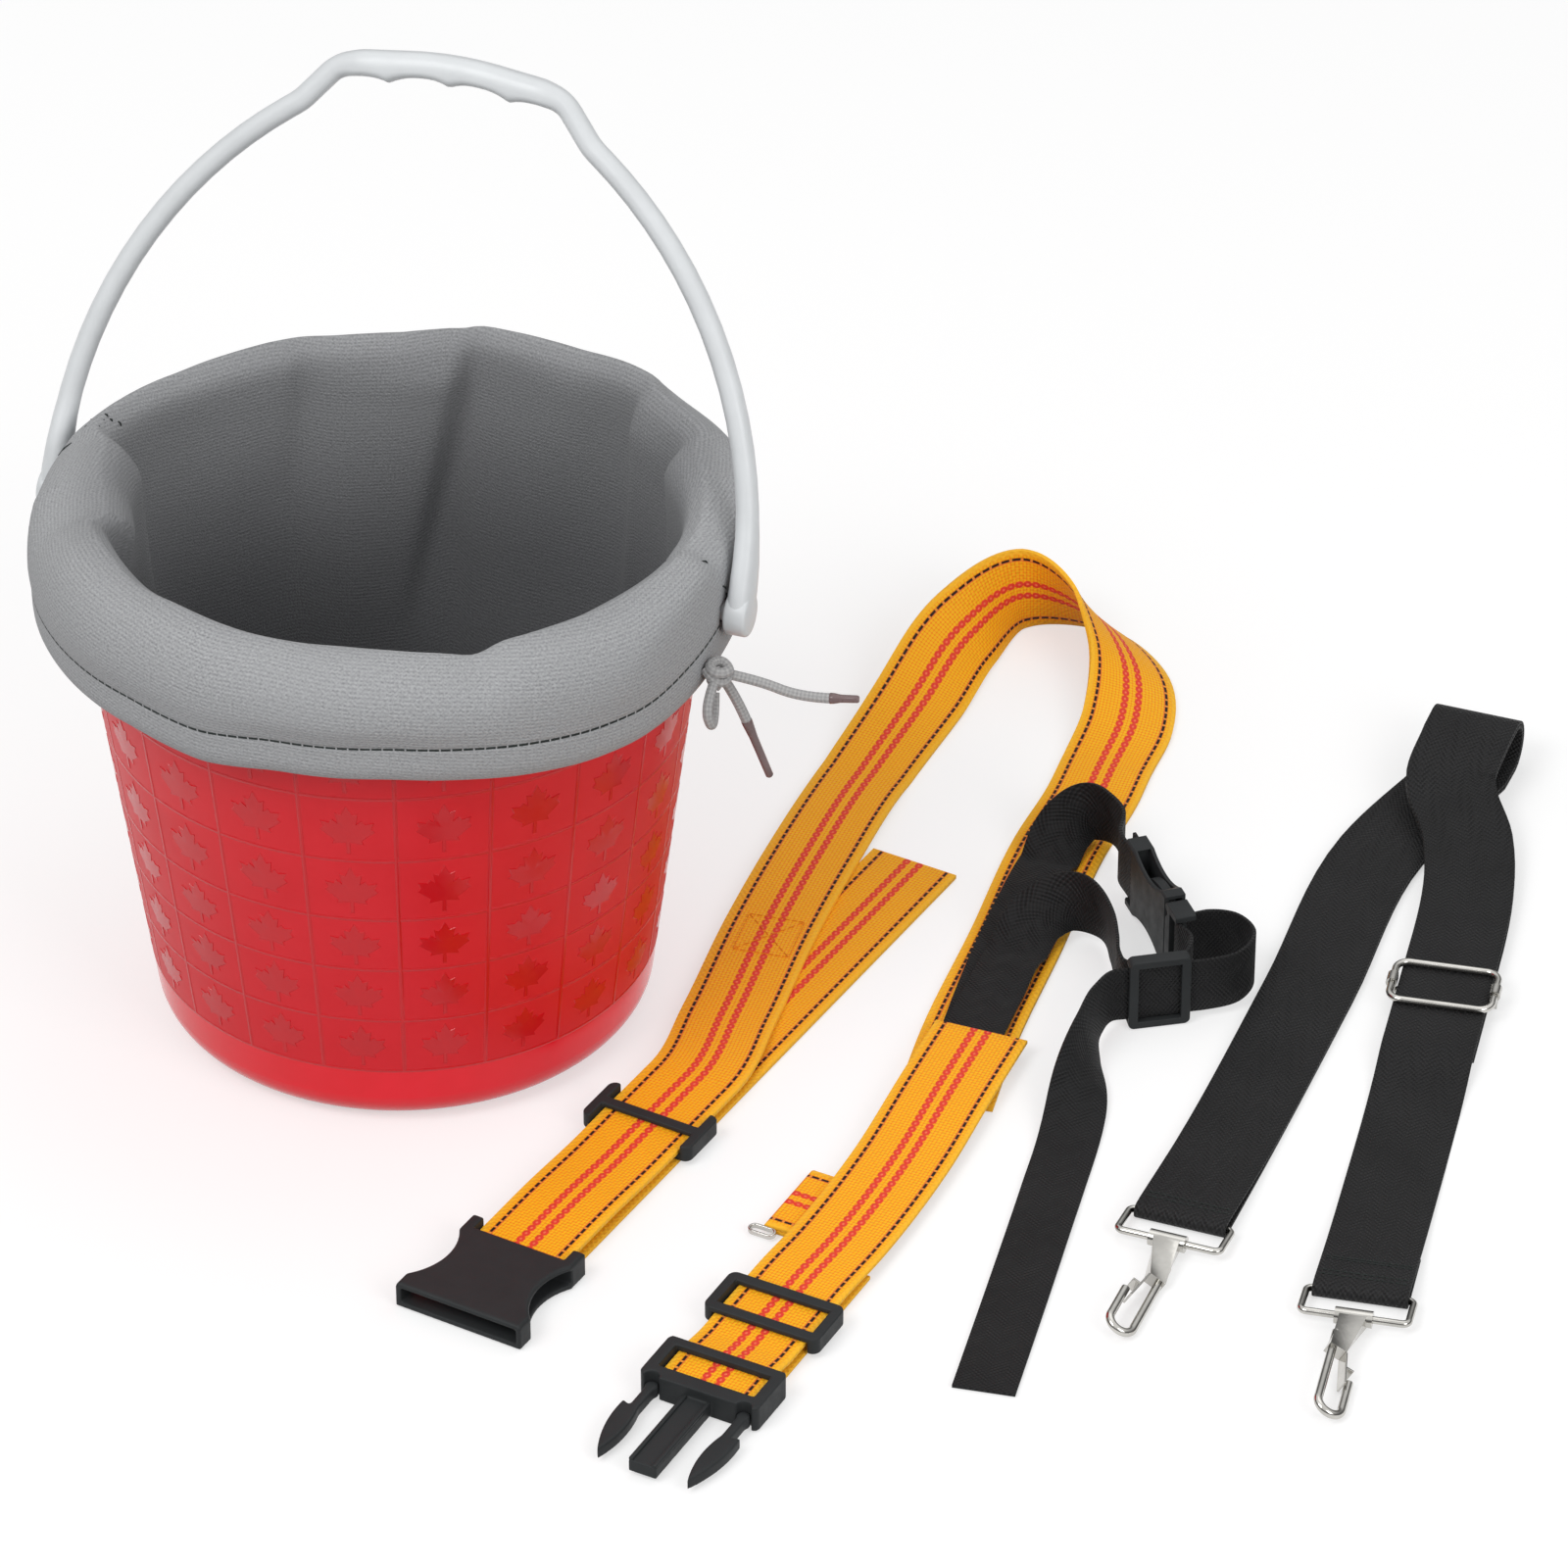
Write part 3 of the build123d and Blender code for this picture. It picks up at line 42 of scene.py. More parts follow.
# Layout of the CAD part, in millimetres and degrees
LAYOUT_X = 100.5
BUCKET_HEIGHT, BASE_RADIUS, COLLAR_RADIUS, RIM_RADIUS, COLLAR_HEIGHT = 229.0, 100.5, 124.2, 126.0, 185.0
BAIL_TURN, BAIL_LEAN, PIVOT_HEIGHT = -18.5, 24.5, 210.0
EXIT_TURN = -27.0    # where the drawstring leaves the hem


# Bench helpers
def mode(name):
    """Go to edit mode or object mode."""
    bpy.ops.object.mode_set(mode=name)


def clear_pick():
    """Leave edit mode and deselect everything."""
    if bpy.context.object and bpy.context.object.mode != "OBJECT":
        mode("OBJECT")
    bpy.ops.object.select_all(action="DESELECT")


def pick(piece):
    """Select one piece alone."""
    clear_pick()
    piece.select_set(True)
    bpy.context.view_layer.objects.active = piece


def christen(name):
    """Name the piece that was just made."""
    piece = bpy.context.object
    piece.name = name
    piece.data.name = name
    return piece


def dress(piece, kind, **settings):
    """Add a modifier and apply it."""
    pick(piece)
    modifier = piece.modifiers.new(kind.title(), kind)
    for key, value in settings.items():
        setattr(modifier, key, value)
    bpy.ops.object.modifier_apply(modifier=modifier.name)


def rounded(piece, width, segments, angle):
    """Round the edges sharper than an angle, with the width in millimetres."""
    dress(piece, "BEVEL", width=width / 1000, segments=segments, limit_method="ANGLE", angle_limit=radians(angle))


def smooth(piece, angle):
    """Smooth shading up to an angle."""
    pick(piece)
    bpy.ops.object.shade_smooth_by_angle(angle=radians(angle))


def outward(piece, merge=0.00001, flat=0.0):
    """Merge doubles and point the faces outward; where an angle is given, dissolve flatter edges too."""
    pick(piece)
    mode("EDIT")
    bpy.ops.mesh.select_all(action="SELECT")
    if flat:
        bpy.ops.mesh.customdata_custom_splitnormals_clear()
    bpy.ops.mesh.remove_doubles(threshold=merge)
    if flat:
        bpy.ops.mesh.dissolve_limited(angle_limit=radians(flat))
    bpy.ops.mesh.normals_make_consistent(inside=False)
    mode("OBJECT")


def joined(pieces, name):
    """Join pieces into one."""
    clear_pick()
    for piece in pieces:
        piece.select_set(True)
    bpy.context.view_layer.objects.active = pieces[0]
    bpy.ops.object.join()
    return christen(name)


def paint(piece, finish):
    """Give a piece one finish."""
    piece.data.materials.clear()
    piece.data.materials.append(finish)


def fit(piece, body, finish, slot, *stands_for):
    """Give a piece its finish and the body that it rides on."""
    paint(piece, finish)
    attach(piece, body)
    if stands_for:
        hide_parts(*stands_for)
    return piece


def fit_joined(pieces, name, angle, *place):
    """Join pieces, smooth them up to an angle and fit them as one."""
    made = joined(pieces, name)
    smooth(made, angle)
    return fit(made, *place)


def fabric_grid(name, rows, uv):
    """A grid whose points are laid on rows of points in metres, with a map in metres."""
    across, along = len(rows[0]) - 1, len(rows) - 1
    clear_pick()
    bpy.ops.mesh.primitive_grid_add(x_subdivisions=across, y_subdivisions=along, size=1)
    piece = christen(name)
    piece.data.vertices.foreach_set("co", [value for row in rows for point in row for value in point])
    layer = piece.data.uv_layers[0]
    for loop in piece.data.loops:
        layer.data[loop.index].uv = uv(*divmod(loop.vertex_index, across + 1))
    piece.data.update()
    return piece


# Sums for shapes
def eased(share):
    """A share, kept between 0 and 1, with a gentle start and end."""
    share = min(max(share, 0.0), 1.0)
    return share * share * (3 - 2 * share)


def hermite(a, b, leave, arrive, u):
    """A value between two, with the slopes at both."""
    slopes = leave * u * (1 - u) ** 2 - arrive * u * u * (1 - u)
    return a * (1 + 2 * u) * (1 - u) ** 2 + b * u * u * (3 - 2 * u) + slopes


def way_at(line, i):
    """Direction of a line of points at one of them."""
    return (line[min(i + 1, len(line) - 1)] - line[max(i - 1, 0)]).normalized()


def runs(line):
    """Distance along a line of points at each of them."""
    run = [0.0]
    for a, b in zip(line, line[1:]):
        run.append(run[-1] + (b - a).length)
    return run


def to_bail(x, y):
    """A place on the floor as distances along the bail's axis and across it."""
    axis = radians(BAIL_TURN)
    return x * cos(axis) + y * sin(axis), -x * sin(axis) + y * cos(axis)


def from_bail(along, across):
    """The place on the floor at distances along the bail's axis and across it."""
    axis = radians(BAIL_TURN)
    return along * cos(axis) - across * sin(axis), along * sin(axis) + across * cos(axis)


# Shader helpers: they build in the node tree that was opened last
opened = []


def feed(node, inputs=(), **named):
    """Give a node's inputs their sockets or values, by place or by name; a colour gets its alpha here."""
    inputs = inputs if isinstance(inputs, dict) else dict(enumerate(inputs))
    for key, value in {**inputs, **named}.items():
        socket = node.inputs[key.replace("_", " ") if isinstance(key, str) else key]
        if isinstance(value, bpy.types.NodeSocket):
            opened[-1].links.new(value, socket)
        else:
            socket.default_value = (*value, 1) if isinstance(value, tuple) else value
    return node


def add(kind, inputs=(), **settings):
    """Add a node, set it and feed its inputs."""
    made = opened[-1].nodes.new(kind)
    for key, value in settings.items():
        setattr(made, key, value)
    return feed(made, inputs)


def calc(operation, *inputs):
    """One Math node."""
    return add("ShaderNodeMath", inputs, operation=operation).outputs[0]


def times(a, b):
    """Two numbers multiplied."""
    return calc("MULTIPLY", a, b)


def scaled(value, share, base):
    """A share of a number, on top of another."""
    return calc("MULTIPLY_ADD", value, share, base)


def off(value, middle):
    """How far a number is from another."""
    return calc("ABSOLUTE", calc("SUBTRACT", value, middle))


def beat(run, pitch):
    """How far a run is from the middle of its step, 0 to 0.5 of the step."""
    return off(calc("FRACT", calc("DIVIDE", run, pitch)), 0.5)


def wave(turns):
    """A wave between 0 and 1, one in each turn."""
    return scaled(calc("SINE", times(turns, 2 * pi)), 0.5, 0.5)


def parts_of(place):
    """The three numbers of a place."""
    return add("ShaderNodeSeparateXYZ", [place]).outputs


def in_mm(place):
    """The first two numbers of a place in metres, in millimetres."""
    return [times(part, 1000.0) for part in parts_of(place)[:2]]


def blend(share, low, high, mode="MIX"):
    """One colour mix."""
    return add("ShaderNodeMix", {0: share, 6: low, 7: high}, data_type="RGBA", blend_type=mode).outputs[2]


def ramp(value, low, high, start=0.0, end=1.0):
    """A smooth change from one number to another."""
    return add("ShaderNodeMapRange", [value, low, high, start, end], interpolation_type="SMOOTHSTEP").outputs[0]


def rgb(*screen):
    """A colour from its screen values."""
    return tuple((c / 255 / 12.92) if c <= 10 else ((c / 255 + 0.055) / 1.055) ** 2.4 for c in screen)


def finish_of(name, **sockets):
    """Open a new material, with constants on its shader."""
    made = bpy.data.materials.new(name)
    made.use_nodes = True
    opened.append(made.node_tree)
    return made, feed(made.node_tree.nodes["Principled BSDF"], sockets)


def bumped(shader, height, strength, distance):
    """Relief from a height."""
    made = add("ShaderNodeBump", dict(Strength=strength, Distance=distance, Height=height))
    feed(shader, Normal=made.outputs[0])


def effect(name, outputs, **inputs):
    """Open a new node group that takes a place and numbers, and gives numbers."""
    group = bpy.data.node_groups.new(name, "ShaderNodeTree")
    opened.append(group)
    group.interface.new_socket(name="Place", in_out="INPUT", socket_type="NodeSocketVector")
    for label, value in inputs.items():
        group.interface.new_socket(name=label, in_out="INPUT", socket_type="NodeSocketFloat").default_value = value
    for label in outputs:
        group.interface.new_socket(name=label, in_out="OUTPUT", socket_type="NodeSocketFloat")
    return group, add("NodeGroupInput").outputs, add("NodeGroupOutput")


def placed(group, **inputs):
    """A node group placed in a material."""
    return add("ShaderNodeGroup", inputs, node_tree=group).outputs


# Shared effects
woven, got, put = effect("woven_cells", ["Height", "Gap"], Across=0.001, Along=0.001)
weft, warp = (
    calc("SINE", calc("DIVIDE", times(part, pi), got[label]))
    for part, label in zip(parts_of(got["Place"]), ("Across", "Along"))
)
cells = scaled(times(weft, warp), 0.5, 0.5)
edges = times(calc("ABSOLUTE", weft), calc("ABSOLUTE", warp))
feed(put, Height=cells, Gap=ramp(edges, 0.0, 0.38, 1.0, 0.0))

mottled, got, put = effect("mottled", ["Value"], Size=0.01, Low=0.0, High=1.0)
grains = calc("DIVIDE", 1.0, got["Size"])
cloud = add("ShaderNodeTexNoise", dict(Vector=got["Place"], Scale=grains, Detail=3.0, Roughness=0.6))
spread = add("ShaderNodeMapRange", [cloud.outputs[0], 0.3, 0.7, got["Low"], got["High"]])
feed(put, Value=spread.outputs[0])


def speckled(place, size, low=0.0, high=1.0):
    """A number that wanders between two values in spots of a size."""
    return placed(mottled, Place=place, Size=size, Low=low, High=high)["Value"]


def here():
    """Object coordinates."""
    return add("ShaderNodeTexCoord").outputs["Object"]


def mapped():
    """The piece's own map, in metres."""
    return add("ShaderNodeUVMap", uv_map="UVMap").outputs[0]


# Plastic and metal
def moulded_finish(name, colour, rough, grain, spread, **sockets):
    """Moulded plastic: a faint grain, uneven gloss and slightly uneven colour."""
    made, shader = finish_of(name, **sockets)
    place = here()
    shade, light = (tuple(min(1, c * (1 + way * spread)) for c in colour) for way in (-1, 1))
    feed(
        shader,
        Base_Color=blend(speckled(place, 0.02), shade, light),
        Roughness=speckled(place, 0.006, rough * 0.85, rough * 1.15),
    )
    bumped(shader, speckled(place, grain), 0.25, 0.00006)
    return made


bail_plastic = moulded_finish("bail_plastic", rgb(214, 217, 219), 0.36, 0.0008, 0.03)
black_plastic = moulded_finish("black_plastic", rgb(49, 51, 52), 0.46, 0.0005, 0.08, Specular_IOR_Level=0.12)
aglet_plastic = moulded_finish("aglet_plastic", rgb(112, 92, 92), 0.3, 0.0008, 0.15)
relief_red = moulded_finish("relief_red", rgb(205, 12, 26), 0.22, 0.004, 0.04, Specular_IOR_Level=0.4)

nickel, shader = finish_of("nickel", Metallic=1.0)
place = here()
feed(
    shader,
    Base_Color=blend(speckled(place, 0.012), rgb(186, 184, 179), rgb(208, 206, 201)),
    Roughness=speckled(place, 0.004, 0.08, 0.2),
)
bumped(shader, speckled(place, 0.0009), 0.1, 0.00003)


# Webbing, cloth, cord and thread
def webbing_finish(name, high, across, along, rib, rough):
    """Black webbing: woven cells with herringbone ribs and a dull sheen."""
    made, shader = finish_of(name, Sheen_Weight=0.04, Sheen_Roughness=0.4, Specular_IOR_Level=0.3)
    uv = mapped()
    weave = placed(woven, Place=uv, Across=across, Along=along)["Height"]
    side, run, _ = parts_of(uv)
    zigzag = scaled(calc("PINGPONG", side, 0.0065), 0.8, run)
    ribs = wave(calc("DIVIDE", zigzag, rib))
    tone = scaled(ribs, 0.5, times(weave, 0.5))
    worn = times(tone, speckled(uv, 0.03, 0.6, 1.2))
    feed(
        shader,
        Base_Color=blend(worn, rgb(2, 2, 3), high),
        Roughness=ramp(weave, 0.0, 1.0, rough + 0.15, rough),
    )
    bumped(shader, scaled(ribs, 0.6, weave), 0.8, 0.0004)
    return made


sling_black = webbing_finish("sling_black", rgb(34, 34, 35), 0.0011, 0.0009, 0.0021, 0.62)
strap_black = webbing_finish("strap_black", rgb(36, 36, 37), 0.0009, 0.0011, 0.0025, 0.58)

belt_amber, shader = finish_of("belt_amber", Sheen_Weight=0.04, Sheen_Roughness=0.5, Specular_IOR_Level=0.3)
uv = mapped()
weave = placed(woven, Place=uv, Across=0.0015, Along=0.0016)
side, run = in_mm(uv)
wide = calc("ABSOLUTE", side)
yarn = blend(weave["Gap"], rgb(255, 192, 22), rgb(250, 122, 0))
yarn = blend(times(speckled(uv, 0.02), 0.25), yarn, rgb(252, 168, 10))
yarn = blend(ramp(wide, 17.4, 18.4), yarn, rgb(255, 190, 40))
# Two red chains of beads with paler middles
link = calc("SUBTRACT", calc("FRACT", calc("DIVIDE", run, 4.0)), 0.5)
beside = calc("DIVIDE", calc("SUBTRACT", wide, 3.0), 1.75)
squares = [calc("POWER", part, 2.0) for part in (beside, calc("DIVIDE", link, 0.58))]
bead = calc("SQRT", calc("ADD", *squares))
yarn = blend(ramp(bead, 1.05, 0.8), yarn, rgb(232, 62, 44))
yarn = blend(times(ramp(bead, 0.38, 0.18), 0.8), yarn, rgb(250, 130, 92))
# A thin red line and a dashed thread near each edge
accent = ramp(off(wide, 14.8), 0.45, 0.2)
yarn = blend(times(accent, 0.6), yarn, rgb(232, 92, 50))
thread = blend(ramp(beat(run, 4.2), 0.4, 0.34), rgb(236, 150, 60), rgb(30, 14, 12))
offset = off(wide, 15.7)
yarn = blend(ramp(offset, 0.72, 0.5), yarn, thread)
feed(shader, Base_Color=yarn, Roughness=ramp(weave["Height"], 0.0, 1.0, 0.75, 0.55))
relief = scaled(ramp(bead, 1.0, 0.6), 0.5, weave["Height"])
relief = calc("SUBTRACT", relief, times(ramp(offset, 1.0, 0.3), 0.6))
bumped(shader, relief, 0.65, 0.0004)

CLOTH_ROUND = 0.86    # girth of the liner on its map, in metres
liner_knit, shader = finish_of("liner_knit", Sheen_Weight=0.06, Sheen_Roughness=0.5, Roughness=0.9)
uv = mapped()
around, down = in_mm(uv)
wander = speckled(uv, 0.02, -0.16, 0.16)
course = calc("ADD", calc("DIVIDE", down, 1.6), wander)
lines = wave(scaled(around, 0.05, course))
loops = placed(woven, Place=uv, Across=0.0009, Along=0.00075)["Height"]
heather = scaled(speckled(uv, 0.0011), 0.58, times(loops, 0.18))
pile = scaled(lines, 0.24, heather)
yarn = blend(pile, rgb(119, 120, 122), rgb(189, 190, 192))
yarn = blend(speckled(uv, 0.05, 0.0, 0.35), yarn, rgb(154, 155, 157))
# Painted shade inside the bucket: the cloth is darker there, from a little nearer its crest at the back, and darker
# still lower down
turns = times(around, 2 * pi / (CLOTH_ROUND * 1000))
behind = calc("MAXIMUM", calc("SINE", turns), 0.0)
depth = scaled(behind, 12.0, down)
yarn = blend(ramp(depth, 52.0, 78.0), yarn, (0.69, 0.69, 0.695), "MULTIPLY")
yarn = blend(ramp(depth, 80.0, 174.0), yarn, (0.52, 0.52, 0.525), "MULTIPLY")
# The seam above the hem pulls the cloth in a little
seam_off = off(scaled(wander, 0.6, down), 17.0)
thread = times(ramp(seam_off, 0.75, 0.48), ramp(beat(around, 4.2), 0.46, 0.4))
feed(shader, Base_Color=blend(thread, yarn, rgb(18, 28, 26)))
pull = times(ramp(seam_off, 2.4, 0.2), 1.6)
bumped(shader, calc("SUBTRACT", pile, pull), 0.5, 0.0006)

cord_braid, shader = finish_of("cord_braid", Sheen_Weight=0.2, Roughness=0.85)
uv = mapped()
around, along = (times(part, pitch) for part, pitch in zip(parts_of(uv), (1800.0, 1900.0)))
left, right = (calc("SINE", calc(way, around, along)) for way in ("ADD", "SUBTRACT"))
strands = scaled(times(left, right), 0.5, 0.5)
tone = scaled(strands, 0.6, times(speckled(uv, 0.0008), 0.4))
feed(shader, Base_Color=blend(tone, rgb(134, 133, 134), rgb(188, 187, 186)))
bumped(shader, strands, 0.6, 0.0004)


def thread_finish(name, low, high):
    """Twisted sewing thread."""
    made, shader = finish_of(name, Roughness=0.8)
    twist = speckled(here(), 0.0006)
    feed(shader, Base_Color=blend(twist, low, high))
    bumped(shader, twist, 0.4, 0.0002)
    return made


dark_thread = thread_finish("dark_thread", rgb(12, 17, 16), rgb(38, 46, 44))
amber_thread = thread_finish("amber_thread", rgb(222, 116, 8), rgb(246, 150, 20))

# Camera, floor and light
camera = bpy.data.objects.new("camera", bpy.data.cameras.new("camera"))
scene.collection.objects.link(camera)
camera.location = (0.1558, -2.6337, 1.8909)
camera.rotation_euler = (pi / 2 - 0.5979, 0, 0)
camera.data.lens, camera.data.sensor_width = 180.0, 36.0
scene.camera = camera
scene.view_settings.view_transform = "Standard"

clear_pick()
bpy.ops.mesh.primitive_plane_add(size=14, location=(0, 0, -0.0004))
studio_floor = christen("studio_floor")
floor_white, shader = finish_of(
    "floor_white", Base_Color=(0.5, 0.5, 0.5), Roughness=0.9, Specular_IOR_Level=0.0, Emission_Strength=0.54,
)
rays = add("ShaderNodeLightPath").outputs
seen = calc("MAXIMUM", rays["Is Camera Ray"], rays["Is Glossy Ray"])
feed(shader, Emission_Color=blend(seen, (0, 0, 0), (1, 1, 1)))
paint(studio_floor, floor_white)

world = bpy.data.worlds.new("studio")
scene.world = world
world.use_nodes = True
opened.append(world.node_tree)
rays = add("ShaderNodeLightPath").outputs
mirrors = calc("MAXIMUM", rays["Is Glossy Ray"], rays["Is Transmission Ray"])
seen = calc("MAXIMUM", rays["Is Camera Ray"], mirrors)
# Reflections get a darker band low down, so that metal and gloss have contrast
sky = parts_of(add("ShaderNodeTexCoord").outputs["Generated"])[2]
band = scaled(ramp(sky, 0.3, 0.75), 0.85, 0.15)
band = calc("MAXIMUM", band, calc("SUBTRACT", 1.0, rays["Is Glossy Ray"]))
strength = times(scaled(seen, 0.42, 0.58), band)
feed(world.node_tree.nodes["Background"], Color=(1, 1, 1), Strength=strength)


def lamp(name, place, aim, size, power):
    """A soft box that looks at a point."""
    clear_pick()
    bpy.ops.object.light_add(type="AREA", location=place)
    made = christen(name)
    made.data.shape = "SQUARE"
    made.data.size = size
    made.data.energy = power
    made.rotation_euler = (Vector(aim) - Vector(place)).to_track_quat("-Z", "Y").to_euler()


lamp("key_box", (-1.3, -1.5, 2.4), (0.1, 0.0, 0.1), 1.4, 35.0)
lamp("top_box", (0.5, 0.6, 2.6), (0.15, 0.0, 0.0), 1.6, 5.5)
lamp("side_box", (1.7, -2.0, 1.5), (0.1, 0.0, 0.1), 1.4, 20.0)


# Bucket
def wall_radius(height):
    """Outer radius of the bucket's wall."""
    if height < COLLAR_HEIGHT:
        return BASE_RADIUS + (COLLAR_RADIUS - BASE_RADIUS) * height / COLLAR_HEIGHT
    share = (height - COLLAR_HEIGHT) / (BUCKET_HEIGHT - COLLAR_HEIGHT)
    return COLLAR_RADIUS + (RIM_RADIUS - COLLAR_RADIUS) * share


LEAF_ROWS = [29.1, 56.5, 83.7, 110.3, 141.1, 173.1, 203.0]
LEAF_COLUMNS, COLUMN_WIDE = 20, 35.2
bucket_red, shader = finish_of("bucket_red", Specular_IOR_Level=0.35)
place = here()
x, y, z = parts_of(place)
column = scaled(calc("ARCTAN2", y, x), LEAF_COLUMNS / (2 * pi), 0.38)
line = times(off(calc("FRACT", column), 0.5), COLUMN_WIDE)
height = times(z, 1000.0)
for row in LEAF_ROWS:
    line = calc("MINIMUM", line, off(height, row))
panel = times(ramp(height, 28.6, 29.6), ramp(height, 204.0, 203.0))
frost = times(panel, ramp(line, 0.6, 1.0))
cloudy = speckled(place, 0.03)
line_red = blend(cloudy, rgb(195, 9, 22), rgb(201, 13, 26))
band_red = blend(cloudy, rgb(238, 8, 32), rgb(244, 12, 38))
frost_red = blend(cloudy, rgb(215, 21, 34), rgb(221, 27, 40))
grit = speckled(place, 0.0007)
feed(
    shader,
    Base_Color=blend(frost, blend(panel, band_red, line_red), frost_red),
    Roughness=scaled(frost, scaled(grit, 0.06, 0.27), 0.15),
)
bumped(shader, times(grit, frost), 0.2, 0.00005)
paint(nodes["bucket_shell"], bucket_red)

LEAF = [
    (0.0, 0.5), (0.1, 0.3), (0.2, 0.34), (0.16, 0.12), (0.26, 0.2), (0.31, 0.13), (0.47, 0.16), (0.42, 0.04),
    (0.48, -0.03), (0.24, -0.22), (0.27, -0.3), (0.03, -0.26), (0.035, -0.5),
]
leaf_outline = LEAF + [(-x, y) for x, y in reversed(LEAF[1:])] + LEAF[:1]
# Sections of the relief: share of the leaf's size or distance from the rib's middle, and height above the wall
LEAF_SECTION = [(0.0, 0.16), (0.5, 0.16), (0.97, 0.16), (1.0, -0.06)]
RIB_SECTION = [(-0.8, -0.06), (-0.55, 0.13), (0.55, 0.13), (0.8, -0.06)]


def on_wall(angle, beside, height, lift):
    """A point on the bucket's wall in metres, from an angle and a distance beside it, a height and a lift."""
    reach = wall_radius(height) + lift
    turn = angle + beside / reach
    return (reach * cos(turn) / 1000, reach * sin(turn) / 1000, height / 1000)


def leaf_on_wall(angle, height, wide, tall):
    """One leaf in low relief, wrapped on the wall."""
    rings = []
    for share, lift in LEAF_SECTION:
        spots = [(x * share * wide, height + (y * share - 0.02 * (1 - share)) * tall) for x, y in leaf_outline]
        rings.append([on_wall(angle, beside, level, lift) for beside, level in spots])
    return fabric_grid("leaf", rings, lambda row, column: (column * 0.001, row * 0.004))


def rib_on_wall(points):
    """A thin raised line on the wall through points of angle and height."""
    level = abs(points[0][1] - points[-1][1]) < 0.001
    section = [(0, offset, lift) if level else (offset, 0, lift) for offset, lift in RIB_SECTION]
    strip = [
        [on_wall(angle, beside, height + over, lift) for beside, over, lift in section] for angle, height in points
    ]
    return fabric_grid("rib", strip, lambda row, column: (column * 0.0005, row * 0.005))


relief = []
for low, high in zip(LEAF_ROWS, LEAF_ROWS[1:]):
    middle = (low + high) / 2
    wide = 0.66 * 2 * pi * wall_radius(middle) / LEAF_COLUMNS
    for column in range(LEAF_COLUMNS):
        angle = 2 * pi * (column + 0.62) / LEAF_COLUMNS
        relief.append(leaf_on_wall(angle, middle, wide * 0.92, min(wide, (high - low) * 0.82)))
leaves = joined(relief, "bucket_leaves")
outward(leaves)
smooth(leaves, 25)
fit(leaves, "bucket", relief_red, "bucket_red")
relief = [rib_on_wall([(2 * pi * k / 120, height) for k in range(121)]) for height in LEAF_ROWS[:-1]]
low, high = LEAF_ROWS[0], LEAF_ROWS[-1]
for column in range(LEAF_COLUMNS):
    angle = 2 * pi * (column + 0.12) / LEAF_COLUMNS
    relief.append(rib_on_wall([(angle, low + (high - low) * k / 12) for k in range(13)]))
fit_joined(relief, "bucket_grid", 60, "bucket", relief_red, "bucket_red")

# Liner: one cloth from the hem over the rim to the floor of the bucket. Tables give angles and heights.
CREST = [
    (0, 248), (12, 250), (26, 246.9), (35.6, 245.5), (44.5, 243.6), (54, 240.7), (62.5, 239.8), (70, 239.7),
    (79.6, 240.4), (85, 238.3), (92, 235.7), (103, 235.3), (114, 238.2), (124, 237.6), (134.6, 237.7), (147.5, 241.1),
    (159, 244.2), (170, 246), (184, 245), (192, 244.6), (199, 247.5), (205, 250.4), (213, 249.6), (221, 247.8),
    (225, 248), (230, 249.2), (236, 248.6), (246, 246.9), (256, 246.3), (264, 246.5), (272, 245.5), (281, 242.9),
    (287.6, 239.3), (291.6, 244.2), (302, 244.6), (314, 243.4), (324, 242.6), (332, 242), (336.5, 242), (339.5, 236.6),
    (346, 238.6), (352, 243),
]
# How far the crest stands in from its circle, by angle
CREST_IN = [
    (0, 0), (22, 0.8), (155, 0.8), (172, 1.5), (184, 2.6), (192, 1.6), (197, 0.8), (205, 0.8), (213, 0.6), (221, 0),
    (340, 0),
]
HEM = [
    (0, 191), (60, 192), (120, 191), (170, 190), (192, 189), (203, 190.6), (219, 192), (227, 193), (241, 190.8),
    (253, 194.8), (262, 194.4), (272, 194.5), (284, 191.6), (292, 189.2), (304, 186.4), (314, 185.6), (324, 187.5),
    (340, 189),
]
# Folds on the inside: angle at the crest and low down, depth, reach toward lower and higher angles, lowest height, and
# share of the depth at the crest
FOLDS = [
    (79, 94, 11.0, 2.4, 20, 100, 0.4), (31, 36, 9.5, 15, 3.4, 110, 0.5), (7, 17, 9.5, 13, 3.4, 150, 0.5),
    (167, 151, 15.0, 3.0, 34, 110, 0.55), (55, 60, 2.4, 8, 8, 140, 0.3), (114, 118, 3.4, 3.5, 14, 170, 0.5),
    (262, 255, 3.0, 18, 12, 150, 0.3), (318, 310, 3.5, 10, 20, 160, 0.3), (194, 183, 10.0, 14, 1.5, 175, 0.75),
    (340, 344, 3.5, 1.8, 7, 180, 0.8),
]
FOLD_START = 0.12    # share of a fold's height in which it grows to its full depth
LEG_STRAIGHT, LEG_HALF, LEG_BEND, LEG_GAP, LEG_EASE = 9.5, 140.5, 191.5, 1.7, 3.0    # the bail's legs beside the cuff


def round_table(table, angle):
    """A table's value at an angle, softened a little."""
    total = 0.0
    for shift in (-1.6, 0.0, 1.6):
        turn = (angle + shift) % 360
        for (a, p), (b, q) in zip(table, table[1:] + [(table[0][0] + 360, table[0][1])]):
            if a <= turn < b:
                total += p + (q - p) * (turn - a) / (b - a)
                break
    return total / 3


